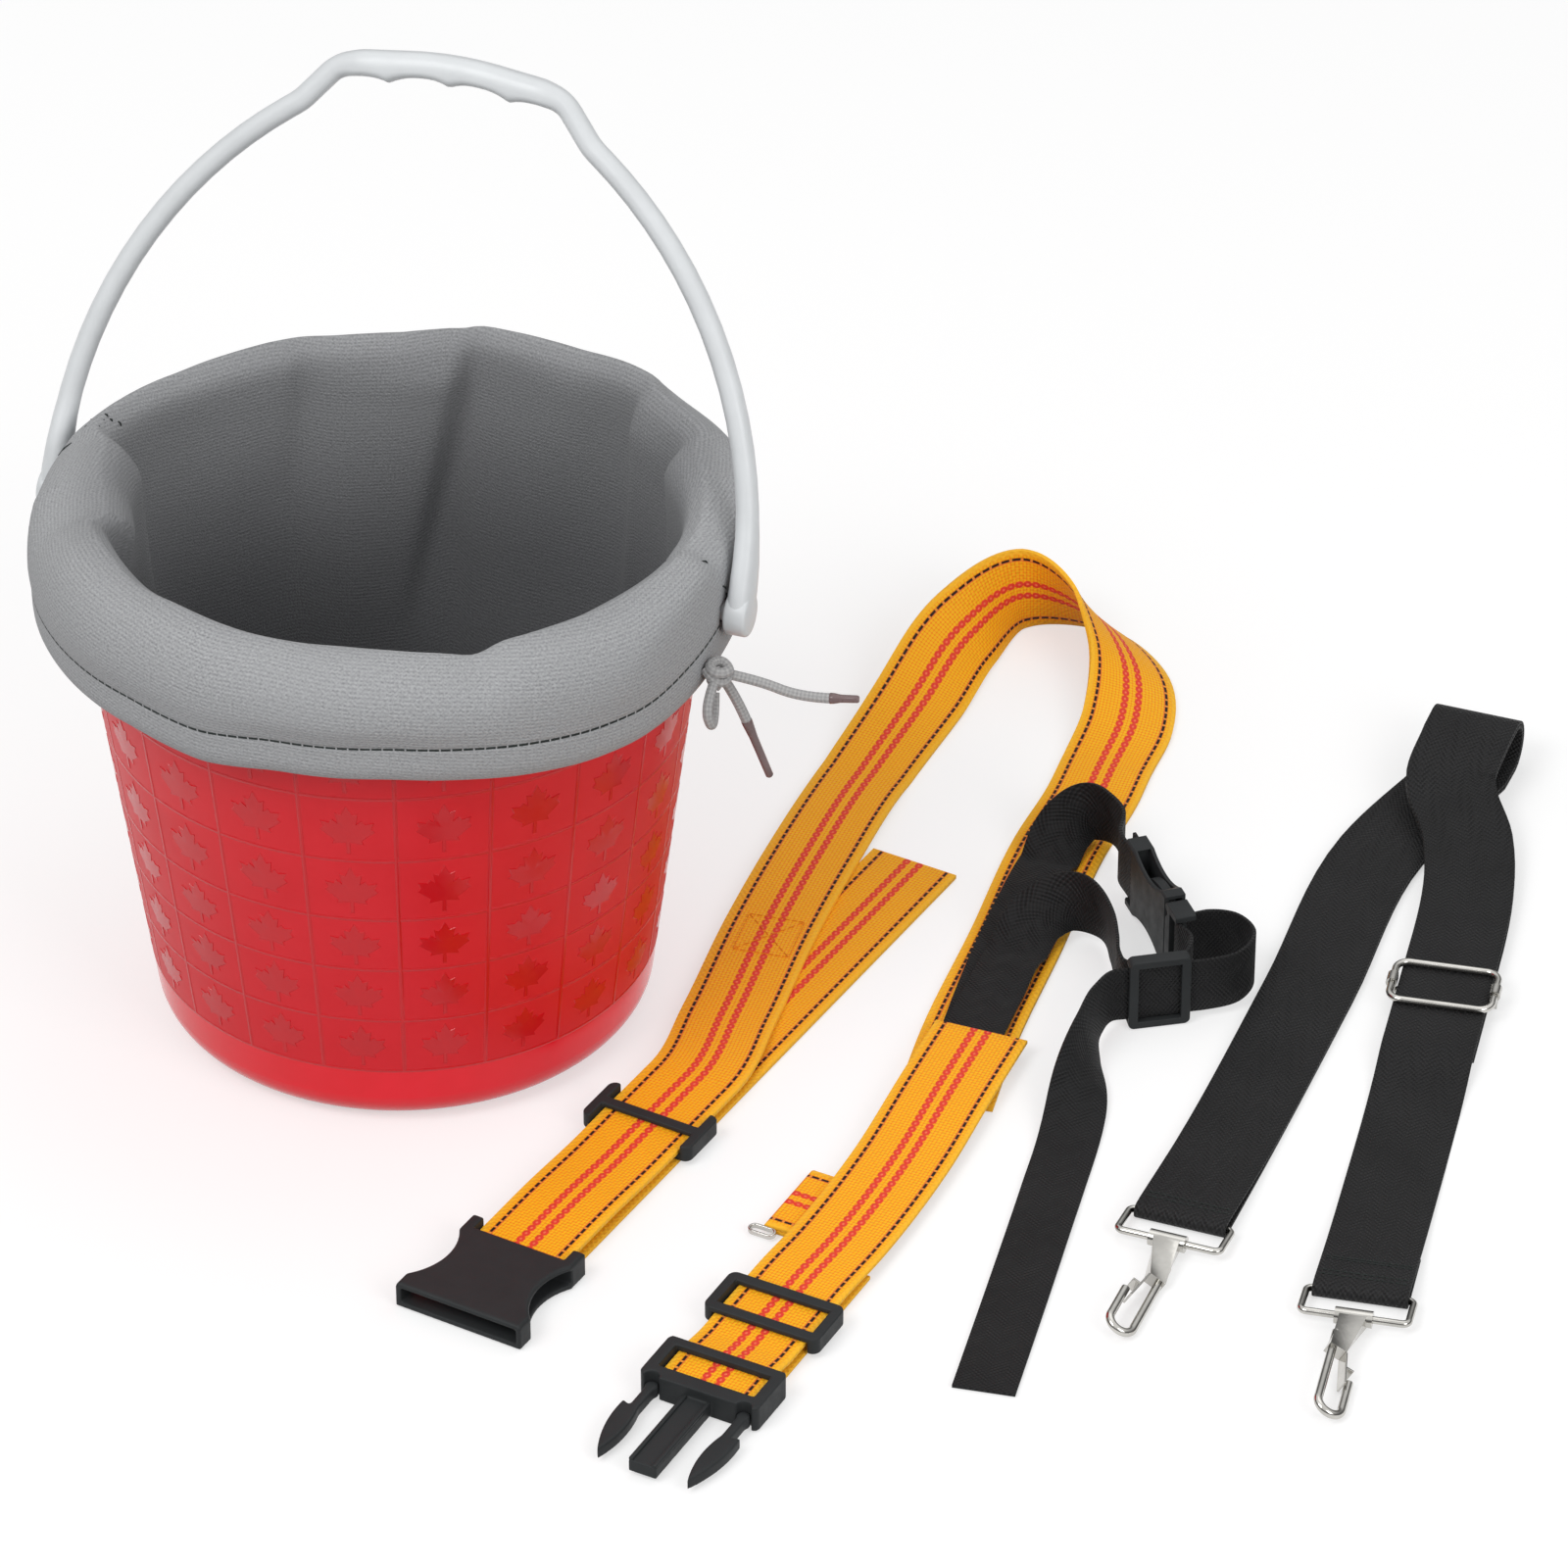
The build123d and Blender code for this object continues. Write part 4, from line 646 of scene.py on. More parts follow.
def fold_depth(angle, height, crest):
    """How far the cloth stands in from the wall."""
    total = 0.0
    for top, low, depth, before, after, bottom, kept in FOLDS:
        share = max((crest - height) / (crest - bottom), 0)
        middle = top + (low - top) * min(share, 1.3)
        away = (angle - middle + 180) % 360 - 180
        fade = max(0.0, 1.0 - share ** 1.5)
        if share < FOLD_START:
            fade *= kept + share / FOLD_START * (1 - kept)
        total += depth * fade * exp(-(away / (before if away < 0 else after)) ** 2)
    return total


def leg_room(spread):
    """Half the width between the bail's legs at a distance from its axis."""
    over = max(spread - LEG_STRAIGHT, 0.0)
    return LEG_HALF - (LEG_BEND - sqrt(max(LEG_BEND ** 2 - over ** 2, 1.0))) - LEG_GAP


def through(points, steps):
    """Points along a smooth curve through points, with a number of steps in each part."""
    gaps = [sqrt(hypot(b[0] - a[0], b[1] - a[1])) for a, b in zip(points, points[1:])]
    line = []
    last = len(points) - 1
    for i in range(last):
        p1, p2 = points[i], points[i + 1]
        p0 = points[i - 1] if i else tuple(2 * a - b for a, b in zip(p1, p2))
        p3 = points[i + 2] if i + 2 <= last else tuple(2 * a - b for a, b in zip(p2, p1))
        before, own, after = gaps[max(i - 1, 0)], gaps[i], gaps[min(i + 1, last - 1)]
        leave = [own * ((b - a) / before - (c - a) / (before + own)) + c - b for a, b, c in zip(p0, p1, p2)]
        arrive = [own * ((d - c) / after - (d - b) / (own + after)) + c - b for b, c, d in zip(p1, p2, p3)]
        for k in range(steps[i]):
            line.append(tuple(hermite(*values, k / steps[i]) for values in zip(p1, p2, leave, arrive)))
    return line + [points[last]]


LINER_TURNS = 240
LIP_CLEAR = 131.3    # smallest radius of the cloth outside the bucket's lip
CREST_RADIUS, CLOTH_THICK = 128.0, 2.4
CUFF_RADIUS, CUFF_BACK = 145.6, 8.5    # the cuff at its widest, and how much less it is at the back
# The hem's tunnel: radius, and height above its lower edge
HEM_SECTION = [(133.4, 9.0), (135.6, 2.6), (139.4, 1.2), (142.3, 5.5), (143.0, 17.0)]
# The bag inside: heights on the wall with gaps to its outer side, then radius and height on the floor
BAG_WALL = [(206.0, 5.0), (170.0, 4.6), (110.0, 4.4), (50.0, 4.4), (18.0, 4.6)]
BAG_FLOOR = [(94.6, 9.0), (87.0, 5.2), (0.0, 4.8)]
FOLDS_END = 90.0    # smallest radius that the folds reach
SECTION_STEPS = [3, 4, 4, 6, 6, 5, 6, 6, 6, 6, 7, 6, 6, 5, 4, 3, 3, 3]
HEM_ROW, SHOULDER_ROW, CREST_ROW = (sum(SECTION_STEPS[:part]) for part in (2, 6, 8))
sections = []
for k in range(LINER_TURNS + 1):
    degree = 360 * (k % LINER_TURNS) / LINER_TURNS
    turn = radians(degree)
    hem, crest = round_table(HEM, degree), round_table(CREST, degree) - CLOTH_THICK / 2
    back = max(0.0, sin(turn)) ** 0.5
    swell = CUFF_RADIUS + 0.9 * sin(3 * turn + 1.0) + 0.7 * sin(7 * turn + 0.4) - CUFF_BACK * back
    hem_top = hem + HEM_SECTION[-1][1]
    rise = crest - hem_top
    top = CREST_RADIUS - round_table(CREST_IN, degree)
    rows = [(reach, hem + over) for reach, over in HEM_SECTION] + [
        (swell, hem_top + 0.32 * rise), (swell - 1.6, hem_top + 0.62 * rise),
        (max(swell - 8.0, LIP_CLEAR + 0.3), crest - (4.6 + 0.6 * back)), (top, crest), (top - 2.6, crest - 1.9),
        (min(top - 4.5, 121.6), crest - 6.0),
    ]
    rows += [(wall_radius(height) - gap, height) for height, gap in BAG_WALL] + BAG_FLOOR
    line = []
    for i, (reach, height) in enumerate(through(rows, SECTION_STEPS)):
        inside = i >= CREST_ROW
        if reach > FOLDS_END and i > SHOULDER_ROW:
            ease = eased((i - SHOULDER_ROW) / (CREST_ROW - SHOULDER_ROW))
            reach -= ease * fold_depth(degree, height if inside else crest, crest)
        if not inside:
            reach = max(reach, LIP_CLEAR - 1.4 * max(height - BUCKET_HEIGHT - 1.2, 0.0))
        x, y = reach * cos(turn), reach * sin(turn)
        if not inside:
            along, across = to_bail(x, y)
            room = leg_room(hypot(across, height - PIVOT_HEIGHT)) - LEG_EASE
            if abs(along) > room:
                give = LEG_EASE * (1 - exp((room - abs(along)) / LEG_EASE))
                x, y = from_bail((1 if along > 0 else -1) * (room + give), across)
        line.append(Vector((x / 1000, y / 1000, height / 1000)))
    sections.append(line)
lengths = [[value - run[HEM_ROW] for value in run] for run in map(runs, sections)]
liner = fabric_grid(
    "liner_cloth", sections, lambda row, column: (row / LINER_TURNS * CLOTH_ROUND, lengths[row][column]),
)
# Two slits for the bail's studs
SLIT_HALF, SLIT_RADIUS, SLIT_LOW, SLIT_HIGH = 2.4, 130.0, 204.0, 216.0
pick(liner)
mode("EDIT")
bpy.ops.mesh.select_all(action="DESELECT")
mode("OBJECT")
for face in liner.data.polygons:
    middle = face.center * 1000
    away = (degrees(atan2(middle.y, middle.x)) - BAIL_TURN + 90) % 180 - 90
    if abs(away) < SLIT_HALF and hypot(middle.x, middle.y) > SLIT_RADIUS and SLIT_LOW < middle.z < SLIT_HIGH:
        face.select = True
mode("EDIT")
bpy.ops.mesh.delete(type="FACE")
mode("OBJECT")
outward(liner)
dress(liner, "SOLIDIFY", thickness=CLOTH_THICK / 1000, offset=0.0)
smooth(liner, 60)
fit(liner, "bucket", liner_knit, "liner_cloth", "liner_bag", "liner_cuff")


# Drawstring
def cord_route(points):
    """Points read from a smooth spline with the route's points as its control points, in metres."""
    curve = bpy.data.curves.new("route", "CURVE")
    curve.dimensions = "3D"
    curve.resolution_u = 10
    spline = curve.splines.new("NURBS")
    spline.points.add(len(points) - 1)
    for spot, point in zip(spline.points, points):
        spot.co = (*point, 1)
    spline.order_u = 3
    spline.use_endpoint_u = True
    holder = bpy.data.objects.new("route", curve)
    scene.collection.objects.link(holder)
    bpy.context.view_layer.update()
    mesh = bpy.data.meshes.new_from_object(holder)
    line = [vertex.co.copy() for vertex in mesh.vertices]
    bpy.data.objects.remove(holder)
    bpy.data.meshes.remove(mesh)
    return line


TUCK, TUCK_SHARE = 5.0, 0.62    # length of a cord's end inside a sleeve, and how thick it is there


def cord_tube(name, line, radius, sides=14, tucked=0):
    """A round cord along points, with its map round and along it; its last rows may be tucked in a sleeve."""
    rows, run = [], runs(line)
    lengths = [0.0] + run + run[-1:]
    side = (line[1] - line[0]).normalized().orthogonal().normalized()
    for i, point in enumerate(line):
        ahead = way_at(line, i)
        side = (side - ahead * side.dot(ahead)).normalized()
        other = ahead.cross(side)
        reach = radius * (TUCK_SHARE if i >= len(line) - tucked else 1.0)
        turns = [2 * pi * k / sides for k in range(sides + 1)]
        rows.append([point + (side * cos(turn) + other * sin(turn)) * reach for turn in turns])
    rows = [[line[0]] * (sides + 1)] + rows + [[line[-1]] * (sides + 1)]
    made = fabric_grid(name, rows, lambda row, column: (column / sides * 2 * pi * radius, lengths[row]))
    outward(made)
    smooth(made, 70)
    return made


EXIT_WAY = Vector((cos(radians(EXIT_TURN)), sin(radians(EXIT_TURN)), 0))
BESIDE = UP.cross(EXIT_WAY)
KNOT_AT = EXIT_WAY * 145.82 + UP * 195.5


def from_knot(rows):
    """Cord points in metres from rows of outward, to the right and up."""
    return [(KNOT_AT + EXIT_WAY * a + BESIDE * b + UP * c) / 1000 for a, b, c in rows]


LONG_END = [(0, 0, 0), (14, 6, -3), (30, 12, -10), (43, 16, -9)]
SHORT_END = [(0, 0, 0), (5, 4, -10), (10, 6, -25)]
BOW_LOOP = [(0, 0, 0), (1, -9, -4), (3, -16, -11), (4, -11, -20), (0, -3, -8)]
KNOT_WRAPS = [
    (-4, -3, 2), (0, -5, -1), (4, -2, -3), (4, 3, 0), (0, 4, 3), (-3, 1, 3), (-2, -4, 3), (3, -4, 2), (5, 1, 2),
    (1, 4, -2), (-3, 3, -3), (-3, -2, -4), (2, -2, -5),
]
CORD_RADIUS, LOOP_RADIUS = 0.0021, 0.002
AGLET_LONG, AGLET_SHORT = 10.0, 26.0
HEM_CORD_RADIUS, HEM_CORD_ROOM, HEM_CORD_RISE = 138.2, 134.6, 6.0    # the cord in the hem stays inside the bail's legs


def aglet(name, rows, length):
    """The tip's sleeve, a little pinched at both ends."""
    start, end = from_knot(rows[-2:])
    way = (end - start).normalized()
    spots = [-2.0, -1.6, 0.0, 0.25 * length, 0.5 * length, 0.75 * length, length - 0.6, length]
    widths = [1.9, 2.25, 2.2, 1.7, 1.62, 1.6, 1.55, 1.1]
    line = [end + way * (s / 1000) for s in spots]
    made = cord_tube(name, line, 0.001)
    for vertex in made.data.vertices:
        reach = (vertex.co - line[0]).dot(way)
        near = min(range(len(line)), key=lambda k: abs((line[k] - line[0]).length - reach))
        middle = line[0] + way * reach
        vertex.co = middle + (vertex.co - middle) * widths[near]
    return made


cords = {}
for name, rows, radius in (
    ("drawstring_long", LONG_END, CORD_RADIUS), ("drawstring_short", SHORT_END, CORD_RADIUS),
    ("drawstring_loop", BOW_LOOP, LOOP_RADIUS),
):
    line = cord_route(from_knot(rows))
    tucked = 0 if name == "drawstring_loop" else 2
    if tucked:
        ahead = (line[-1] - line[-2]).normalized()
        line += [line[-1] + ahead * 0.0015, line[-1] + ahead * TUCK / 1000]
    made = cord_tube(name + "_cord", line, radius, tucked=tucked)
    cords[name] = (fit(made, "bucket", cord_braid, "cord", name), line)
for name, rows, length in (("aglet_long", LONG_END, AGLET_LONG), ("aglet_short", SHORT_END, AGLET_SHORT)):
    fit(aglet(name + "_sleeve", rows, length), "bucket", aglet_plastic, "aglet", name)
knot = cord_tube("drawstring_wraps", cord_route(from_knot(KNOT_WRAPS)), CORD_RADIUS)
fit(knot, "bucket", cord_braid, "cord", "drawstring_knot")
ring = []
for k in range(345):
    degree = EXIT_TURN + 8.0 + k
    turn = radians(degree)
    along, across = to_bail(HEM_CORD_RADIUS * cos(turn), HEM_CORD_RADIUS * sin(turn))
    along = max(-HEM_CORD_ROOM, min(HEM_CORD_ROOM, along))
    ring.append(Vector((*from_bail(along, across), round_table(HEM, degree % 360) + HEM_CORD_RISE)) / 1000)
fit(cord_tube("drawstring_in_channel", ring, CORD_RADIUS, 10), "bucket", cord_braid, "cord", "drawstring_in_hem")


piece, line = cords["drawstring_long"]
piece, line = cords["drawstring_short"]
piece, line = cords["drawstring_loop"]

# Bail: a moulded rod with a stepped grip, drawn upright along its axis and then leaned back
BAIL_CORNERS = [(146.0, 0.0), (146.0, 108.8), (61.0, 171.7), (47.5, 187.8), (0.0, 193.5)]
BAIL_BENDS, GRIP_BEND = [197.0, 25.0, 12.0], 150.0
GRIP_HALF, GRIP_FOOT, FINGER_PITCH, FINGER_DEPTH = 45.0, 150.0, 26.0, 2.3
FLARE_TOP, FLARE_LONG = 44.0, 40.0    # the legs widen toward their ends
BAIL_STEP, BAIL_SIDES = 1.6, 24
# Discs at each end, the boss and the stud: radius, where they start and end along the axis, and rounding
BAIL_DISCS = [(9.0, 141.3, 150.7, 1.5), (4.0, 127.4, 144.0, 0.8)]


def on_bail(x, out, height):
    """A point of the upright bail where the leaned bail has it, in metres."""
    lean = radians(BAIL_LEAN)
    y, z = out * cos(lean) + height * sin(lean), height * cos(lean) - out * sin(lean) + PIVOT_HEIGHT
    return Vector((*from_bail(x, y), z)) / 1000


def bail_middle():
    """The bail's middle line, evenly spaced."""
    corners = [Vector(p) for p in BAIL_CORNERS + [(-x, h) for x, h in BAIL_CORNERS[-2::-1]]]
    bends = BAIL_BENDS + [GRIP_BEND] + BAIL_BENDS[::-1]
    line = [corners[0]]
    for before, corner, after, radius in zip(corners, corners[1:], corners[2:], bends):
        a, b = (before - corner).normalized(), (after - corner).normalized()
        half = a.angle(b) / 2
        centre = corner + (a + b).normalized() * (radius / sin(half))
        start, end = corner + a * (radius / tan(half)) - centre, corner + b * (radius / tan(half)) - centre
        line += [centre + start.lerp(end, k / 16).normalized() * radius for k in range(17)]
    line.append(corners[-1])
    spaced, left = [line[0]], BAIL_STEP
    for a, b in zip(line, line[1:]):
        gap = (b - a).length
        at = left
        while at < gap:
            spaced.append(a.lerp(b, at / gap))
            at += BAIL_STEP
        left = at - gap
    return spaced + [line[-1]]


def bail_section(x, height):
    """Half sizes inward, outward and sideways, and how square the section is."""
    grip = eased((GRIP_HALF + 5.0 - abs(x)) / 14.0) if height > GRIP_FOOT else 0.0
    flare = eased((FLARE_TOP - height) / FLARE_LONG)
    outside = 4.6 + 1.9 * grip + 0.3 * flare
    near = abs((x / FINGER_PITCH) % 1.0 - 0.5) * 2
    inward = outside - FINGER_DEPTH * grip * (1 - near ** 2.6)
    return inward, outside, 4.9 + 1.6 * grip + 3.7 * flare, 2.0 + 0.5 * grip + 0.8 * flare


rows = []
line = bail_middle()
for i, point in enumerate(line):
    way = way_at(line, i)
    normal = Vector((-way.y, way.x))
    inward, outside, wide, square = bail_section(point.x, point.y)
    row = []
    for k in range(BAIL_SIDES + 1):
        turn = 2 * pi * k / BAIL_SIDES
        c, s = (abs(v) ** (2 / square) * (1 if v > 0 else -1) for v in (cos(turn), sin(turn)))
        spot = point + normal * (c * (inward if c > 0 else outside))
        row.append(on_bail(spot.x, s * wide, spot.y))
    rows.append(row)
first, last = ([on_bail(spot.x, 0, spot.y)] * (BAIL_SIDES + 1) for spot in (line[0], line[-1]))
bail = [fabric_grid("bail_rod", [first] + rows + [last], lambda row, column: (column * 0.0013, row * 0.0016))]
for way in (-1, 1):
    for radius, start, end, soft in BAIL_DISCS:
        clear_pick()
        bpy.ops.mesh.primitive_cylinder_add(vertices=48, radius=radius / 1000, depth=(end - start) / 1000)
        disc = christen("bail_end")
        for vertex in disc.data.vertices:
            x, y, z = vertex.co * 1000
            vertex.co = on_bail(way * ((start + end) / 2 + z), y, x)
        outward(disc)
        rounded(disc, soft, 4, 50)
        bail.append(disc)
outward(bail[0])
fit_joined(bail, "bail_moulded", 50, "bail", bail_plastic, "bail_plastic", "bail_handle")


# Webbing: routes are rows of x from the layout line, y, level of the lower side and roll. An end is a place and a turn.
def heading(turn):
    """Level direction at an angle clockwise from +Y."""
    return Vector((sin(radians(turn)), cos(radians(turn)), 0))


def rightward(direction):
    """Level direction to the right of another."""
    return Vector((direction.y, -direction.x, 0))


def floor_spot(point, height=0.0):
    """A layout point in space."""
    return Vector((LAYOUT_X + point[0], point[1], height))


def straight(end, reaches):
    """Route rows on a straight run from an end: reach and level."""
    (x, y), turn = end
    way = heading(turn)
    return [(x + way.x * s, y + way.y * s, level, 0) for s, level in reaches]


def flat_rows(points, *levels):
    """Route rows that lie flat through points on their levels, the last of which holds for the rest."""
    return [(x, y, level, 0) for (x, y), level in zip(points, levels + levels[-1:] * len(points))]


def flow(rows):
    """Rows along a smooth curve through the given rows."""
    last = len(rows) - 1
    gaps = [hypot(b[0] - a[0], b[1] - a[1]) for a, b in zip(rows, rows[1:])]
    slopes = []
    for i in range(last + 1):
        low, high = max(i - 1, 0), min(i, last - 1)
        share = gaps[high] / (gaps[low] + gaps[high])
        slopes.append([
            (b - a) / gaps[low] * share + (d - c) / gaps[high] * (1 - share)
            for a, b, c, d in zip(rows[low], rows[low + 1], rows[high], rows[high + 1])
        ])
    curve = []
    for i, gap in enumerate(gaps):
        steps = max(8, round(abs(rows[i + 1][3] - rows[i][3]) / 2.5))
        ends = list(zip(rows[i], rows[i + 1], slopes[i], slopes[i + 1]))
        for k in range(steps):
            curve.append([hermite(a, b, gap * p, gap * q, k / steps) for a, b, p, q in ends])
    return curve + [list(rows[last])]


def lay(rows, kind):
    """Stations of a kind of webbing along route rows, each a middle and a side direction."""
    width, thick = kind[:2]
    curve = flow(rows)
    stations = []
    for i, (x, y, level, roll) in enumerate(curve):
        behind, ahead = curve[max(i - 1, 0)], curve[min(i + 1, len(curve) - 1)]
        run = Vector((ahead[0] - behind[0], ahead[1] - behind[1], 0)).normalized()
        turn = radians(roll)
        side = rightward(run) * cos(turn) - UP * sin(turn)
        stations.append((floor_spot((x, y), level + abs(sin(turn)) * width / 2 + abs(cos(turn)) * thick / 2), side))
    return stations


def bend(centre, toward, lift, radius, start=-90.0, steps=14):
    """Stations of a turn round a bar, from below it to above, with its bulge toward one side."""
    side = lift.cross(toward)
    angles = [radians(start + (90.0 - start) * k / steps) for k in range(steps + 1)]
    return [(centre + toward * (radius * cos(a)) + lift * (radius * sin(a)), side) for a in angles]


def round_bar(end, height, radius):
    """Stations of the turn round the bar at an end."""
    return bend(floor_spot(end[0], height), -heading(end[1]), UP, radius)


def webbing(name, stations, kind, node):
    """A kind of webbing through its stations in place of a CAD node, with a map across and along it."""
    width, thick, *place = kind
    shares = [k / WEB_COLUMNS - 0.5 for k in range(WEB_COLUMNS + 1)]
    middles = [middle for middle, side in stations]
    rows, lengths = [], runs(middles)
    previous = stations[0][1]
    for i, (middle, side) in enumerate(stations):
        previous = side if side.dot(previous) >= 0 else -side
        way = way_at(middles, i)
        edge = (previous - way * previous.dot(way)).normalized()
        rows.append([(middle + edge * (width * share)) / 1000 for share in shares])
    made = fabric_grid(name, rows, lambda row, column: (shares[column] * width / 1000, lengths[row] / 1000))
    dress(made, "SOLIDIFY", thickness=thick / 1000, offset=0.0)
    rounded(made, thick * 0.22, 2, 55)
    outward(made, FINE_MERGE)
    smooth(made, 55)
    return fit(made, *place, node)


WEB_COLUMNS = 8
LAYER, GRAZE = 0.3, 0.8    # gaps between layers, and beside webbing in a slot
BELT_WIDE, BELT_THICK, SLING_WIDE, SLING_THICK, STRAP_WIDE, STRAP_THICK = 40.0, 1.8, 25.0, 1.4, 38.0, 1.5
# Kinds of webbing: width, thickness, body, finish and slot
BELT = (BELT_WIDE, BELT_THICK, "belt", belt_amber, "belt_webbing")
SLING = (SLING_WIDE, SLING_THICK, "belt", sling_black, "black_webbing")
STRAP = (STRAP_WIDE, STRAP_THICK, "strap", strap_black, "black_webbing")
BELT_BAR, SLIDER_BAR = 2.0, 2.5
BELT_SOCKET, BELT_TAIL = ((-46.5, -190.0), 30.0), 314.0
BELT_PLUG, PLUG_RETURN = ((27.5, -276.0), 28.0), 94.0
BELT_LEFT_LEG = [(33, -30), (50, 32), (67, 84), (91, 150)]
BELT_LOOP = [(114, 200, 15), (135, 240, 50), (162, 266, 90), (189, 253, 125), (205, 222, 150), (204, 185, 170)]
BELT_RIGHT_LEG = [(195, 158), (187, 132), (172, 94), (152, 26), (131, -42), (120, -88)]
BELT_END_LEG = [(76, -186), (102, -132), (121, -84), (136, -46)]

belt_pitch, sling_pitch, strap_pitch = BELT_THICK + LAYER, SLING_THICK + LAYER, STRAP_THICK + LAYER
slider_level = belt_pitch + SLIDER_BAR + LAYER
belt_turn = BELT_BAR + LAYER + BELT_THICK / 2
bar_height = BELT_THICK / 2 + belt_turn
turn_level = 2 * belt_turn


def from_buckle(name, end, tail, flat_to, slider_reaches, route, node):
    """Belt webbing from its tail round a buckle's bar, through a slider and along a route."""
    rows = [(6, turn_level), (flat_to, turn_level)] + [(s, slider_level) for s in slider_reaches]
    stations = lay(straight(end, [(tail, 0), (6, 0)]), BELT) + round_bar(end, bar_height, belt_turn)
    webbing(name, stations + lay(straight(end, rows) + route, BELT), BELT, node)


route = flat_rows(BELT_LEFT_LEG, belt_pitch + 0.4, belt_pitch, belt_pitch, 0)
route += [(x, y, 0, roll) for x, y, roll in BELT_LOOP] + [(x, y, 0, 180) for x, y in BELT_RIGHT_LEG]
from_buckle("belt_main_webbing", BELT_SOCKET, BELT_TAIL, 34, (68, 96, 124, 132), route, "belt_webbing_main")

patch_level, tab_level = belt_pitch + 2 * sling_pitch, 2 * belt_pitch
route = flat_rows(BELT_END_LEG, tab_level, tab_level, patch_level)
from_buckle("belt_end_webbing", BELT_PLUG, PLUG_RETURN, 15.5, (28, 38, 66, 74), route, "belt_webbing_end")

TAB_AT, TAB_OUT, TAB_LONG = 122.0, 10.0, 34.0
tab_along = heading(BELT_PLUG[1])
tab_out = -rightward(tab_along)
fold_at = floor_spot(BELT_PLUG[0], BELT_THICK / 2 + belt_pitch / 2)
fold_at += tab_along * TAB_AT + tab_out * (BELT_WIDE / 2 + TAB_OUT)
fold = bend(fold_at, tab_out, UP, belt_pitch / 2)
lower, upper = ([(spot - tab_out * TAB_LONG, side)] for spot, side in (fold[0], fold[-1]))
webbing("belt_tab_webbing", lower + fold + upper, BELT, "belt_tab")

SLING_UPPER = [(127, -62), (142, 0), (156, 48), (167, 80)]
SLING_UPPER_TURN = [(174, 94, 35), (183, 100, 68), (192, 95, 90), (198, 81, 90)]
SLING_LOWER = [(127, -62), (141, -18), (152, 12)]
SLING_LOWER_TURN = [
    (161, 28, 32), (174, 33, 64), (186, 24, 90), (191, 6, 90), (192.2, -10, 90), (192.6, -22, 90), (194.4, -27.2, 90),
]
SLING_SOCKET_AT, SLING_BUCKLE_TURN = (203.0, 52.0), 162.0
SLING_SLIDER_AT, SLING_SLIDER_TURN = (208.5, -31.0), 78.5
SLING_LOOP = [(231, 8), (241, 6), (248.5, -6), (242, -21)]
SLING_TAIL = [
    (183, -44, 95), (178.5, -62, 112), (172.5, -98, 168), (161, -150, 180), (147, -210, 180), (132, -273, 180),
]
SLING_BAR, SLING_RAIL, SLING_SLIDER_BAR = 1.6, 3.2, 2.0
SLING_BUCKLE_LONG = 44.0 + 0.5 + 5.0    # the socket, a gap and the plug's shoulder

sling_turn = SLING_BAR + LAYER + SLING_THICK / 2
sling_notch = sling_turn + SLING_THICK / 2 + LAYER
edge_height = SLING_WIDE / 2 + GRAZE + SLING_RAIL
strap_low = edge_height - SLING_WIDE / 2
sling_run = heading(SLING_BUCKLE_TURN)
sling_beside = rightward(sling_run)
socket_at = floor_spot(SLING_SOCKET_AT, edge_height)
plug_at = socket_at + sling_run * (SLING_BUCKLE_LONG + sling_notch)


def edge_rows(*points):
    """Route rows that stand on edge at points in space."""
    return [(point.x - LAYOUT_X, point.y, strap_low, 90) for point in points]


def rolled_rows(points, start, end):
    """Route rows with a roll, the level going evenly from start to end."""
    return [(x, y, start + (end - start) * k / (len(points) - 1), roll) for k, (x, y, roll) in enumerate(points)]


arrive, leave = socket_at + sling_beside * sling_turn, socket_at - sling_beside * sling_turn
route = flat_rows(SLING_UPPER, belt_pitch) + rolled_rows(SLING_UPPER_TURN, belt_pitch + 0.5, strap_low)
route += edge_rows(arrive - sling_run * 14, arrive - sling_run * 3)
stations = lay(route, SLING) + bend(socket_at, sling_run, -sling_beside, sling_turn)
stations += [(leave - sling_run * 3, UP), (leave - sling_run * 12, UP)]
webbing("sling_upper_webbing", stations, SLING, "sling_strap_upper")

slider_run = heading(SLING_SLIDER_TURN)
slider_at = floor_spot(SLING_SLIDER_AT, edge_height)
back = slider_at - rightward(slider_run) * (SLING_THICK + 2 * LAYER + SLING_SLIDER_BAR)
west = plug_at + sling_beside * sling_turn
lower_level = belt_pitch + sling_pitch
route = flat_rows(SLING_LOWER, lower_level) + rolled_rows(SLING_LOWER_TURN, lower_level + 0.5, strap_low)
route += edge_rows(*(back + slider_run * s for s in (-9, 0, 8)))
route += edge_rows(west + sling_run * 11 - sling_beside * 2, west + sling_run * 3)
stations = lay(route, SLING) + bend(plug_at, sling_beside, -sling_run, sling_turn, 0.0, 8)
route = edge_rows(plug_at - sling_run * sling_turn - sling_beside * 3)
route += [(x, y, strap_low, 90) for x, y in SLING_LOOP]
route += edge_rows(*(slider_at + slider_run * s for s in (20, 14, 0, -14, -19)))
route += [(x, y, strap_low * share, roll) for (x, y, roll), share in zip(SLING_TAIL, (0.8, 0.5, 0, 0, 0, 0))]
webbing("sling_lower_webbing", stations + lay(route, SLING), SLING, "sling_strap_lower")

RING_1, RING_2 = ((212.5, -168.0), 21.2), ((280.5, -216.0), 13.0)
RING_WIRE, BAR_WIRE = 1.5, 1.3    # radii
STRAP_SLIDER, STRAP_SEWN = 205.0, 30.0
CREST_AT, CREST_TURN, CREST_BEND = (355.5, 169.0), 21.0, 11.5
STRAP_LEFT_LEG = [(272, -10), (308, 90)]
STRAP_RIGHT_POINT = (344, 90)

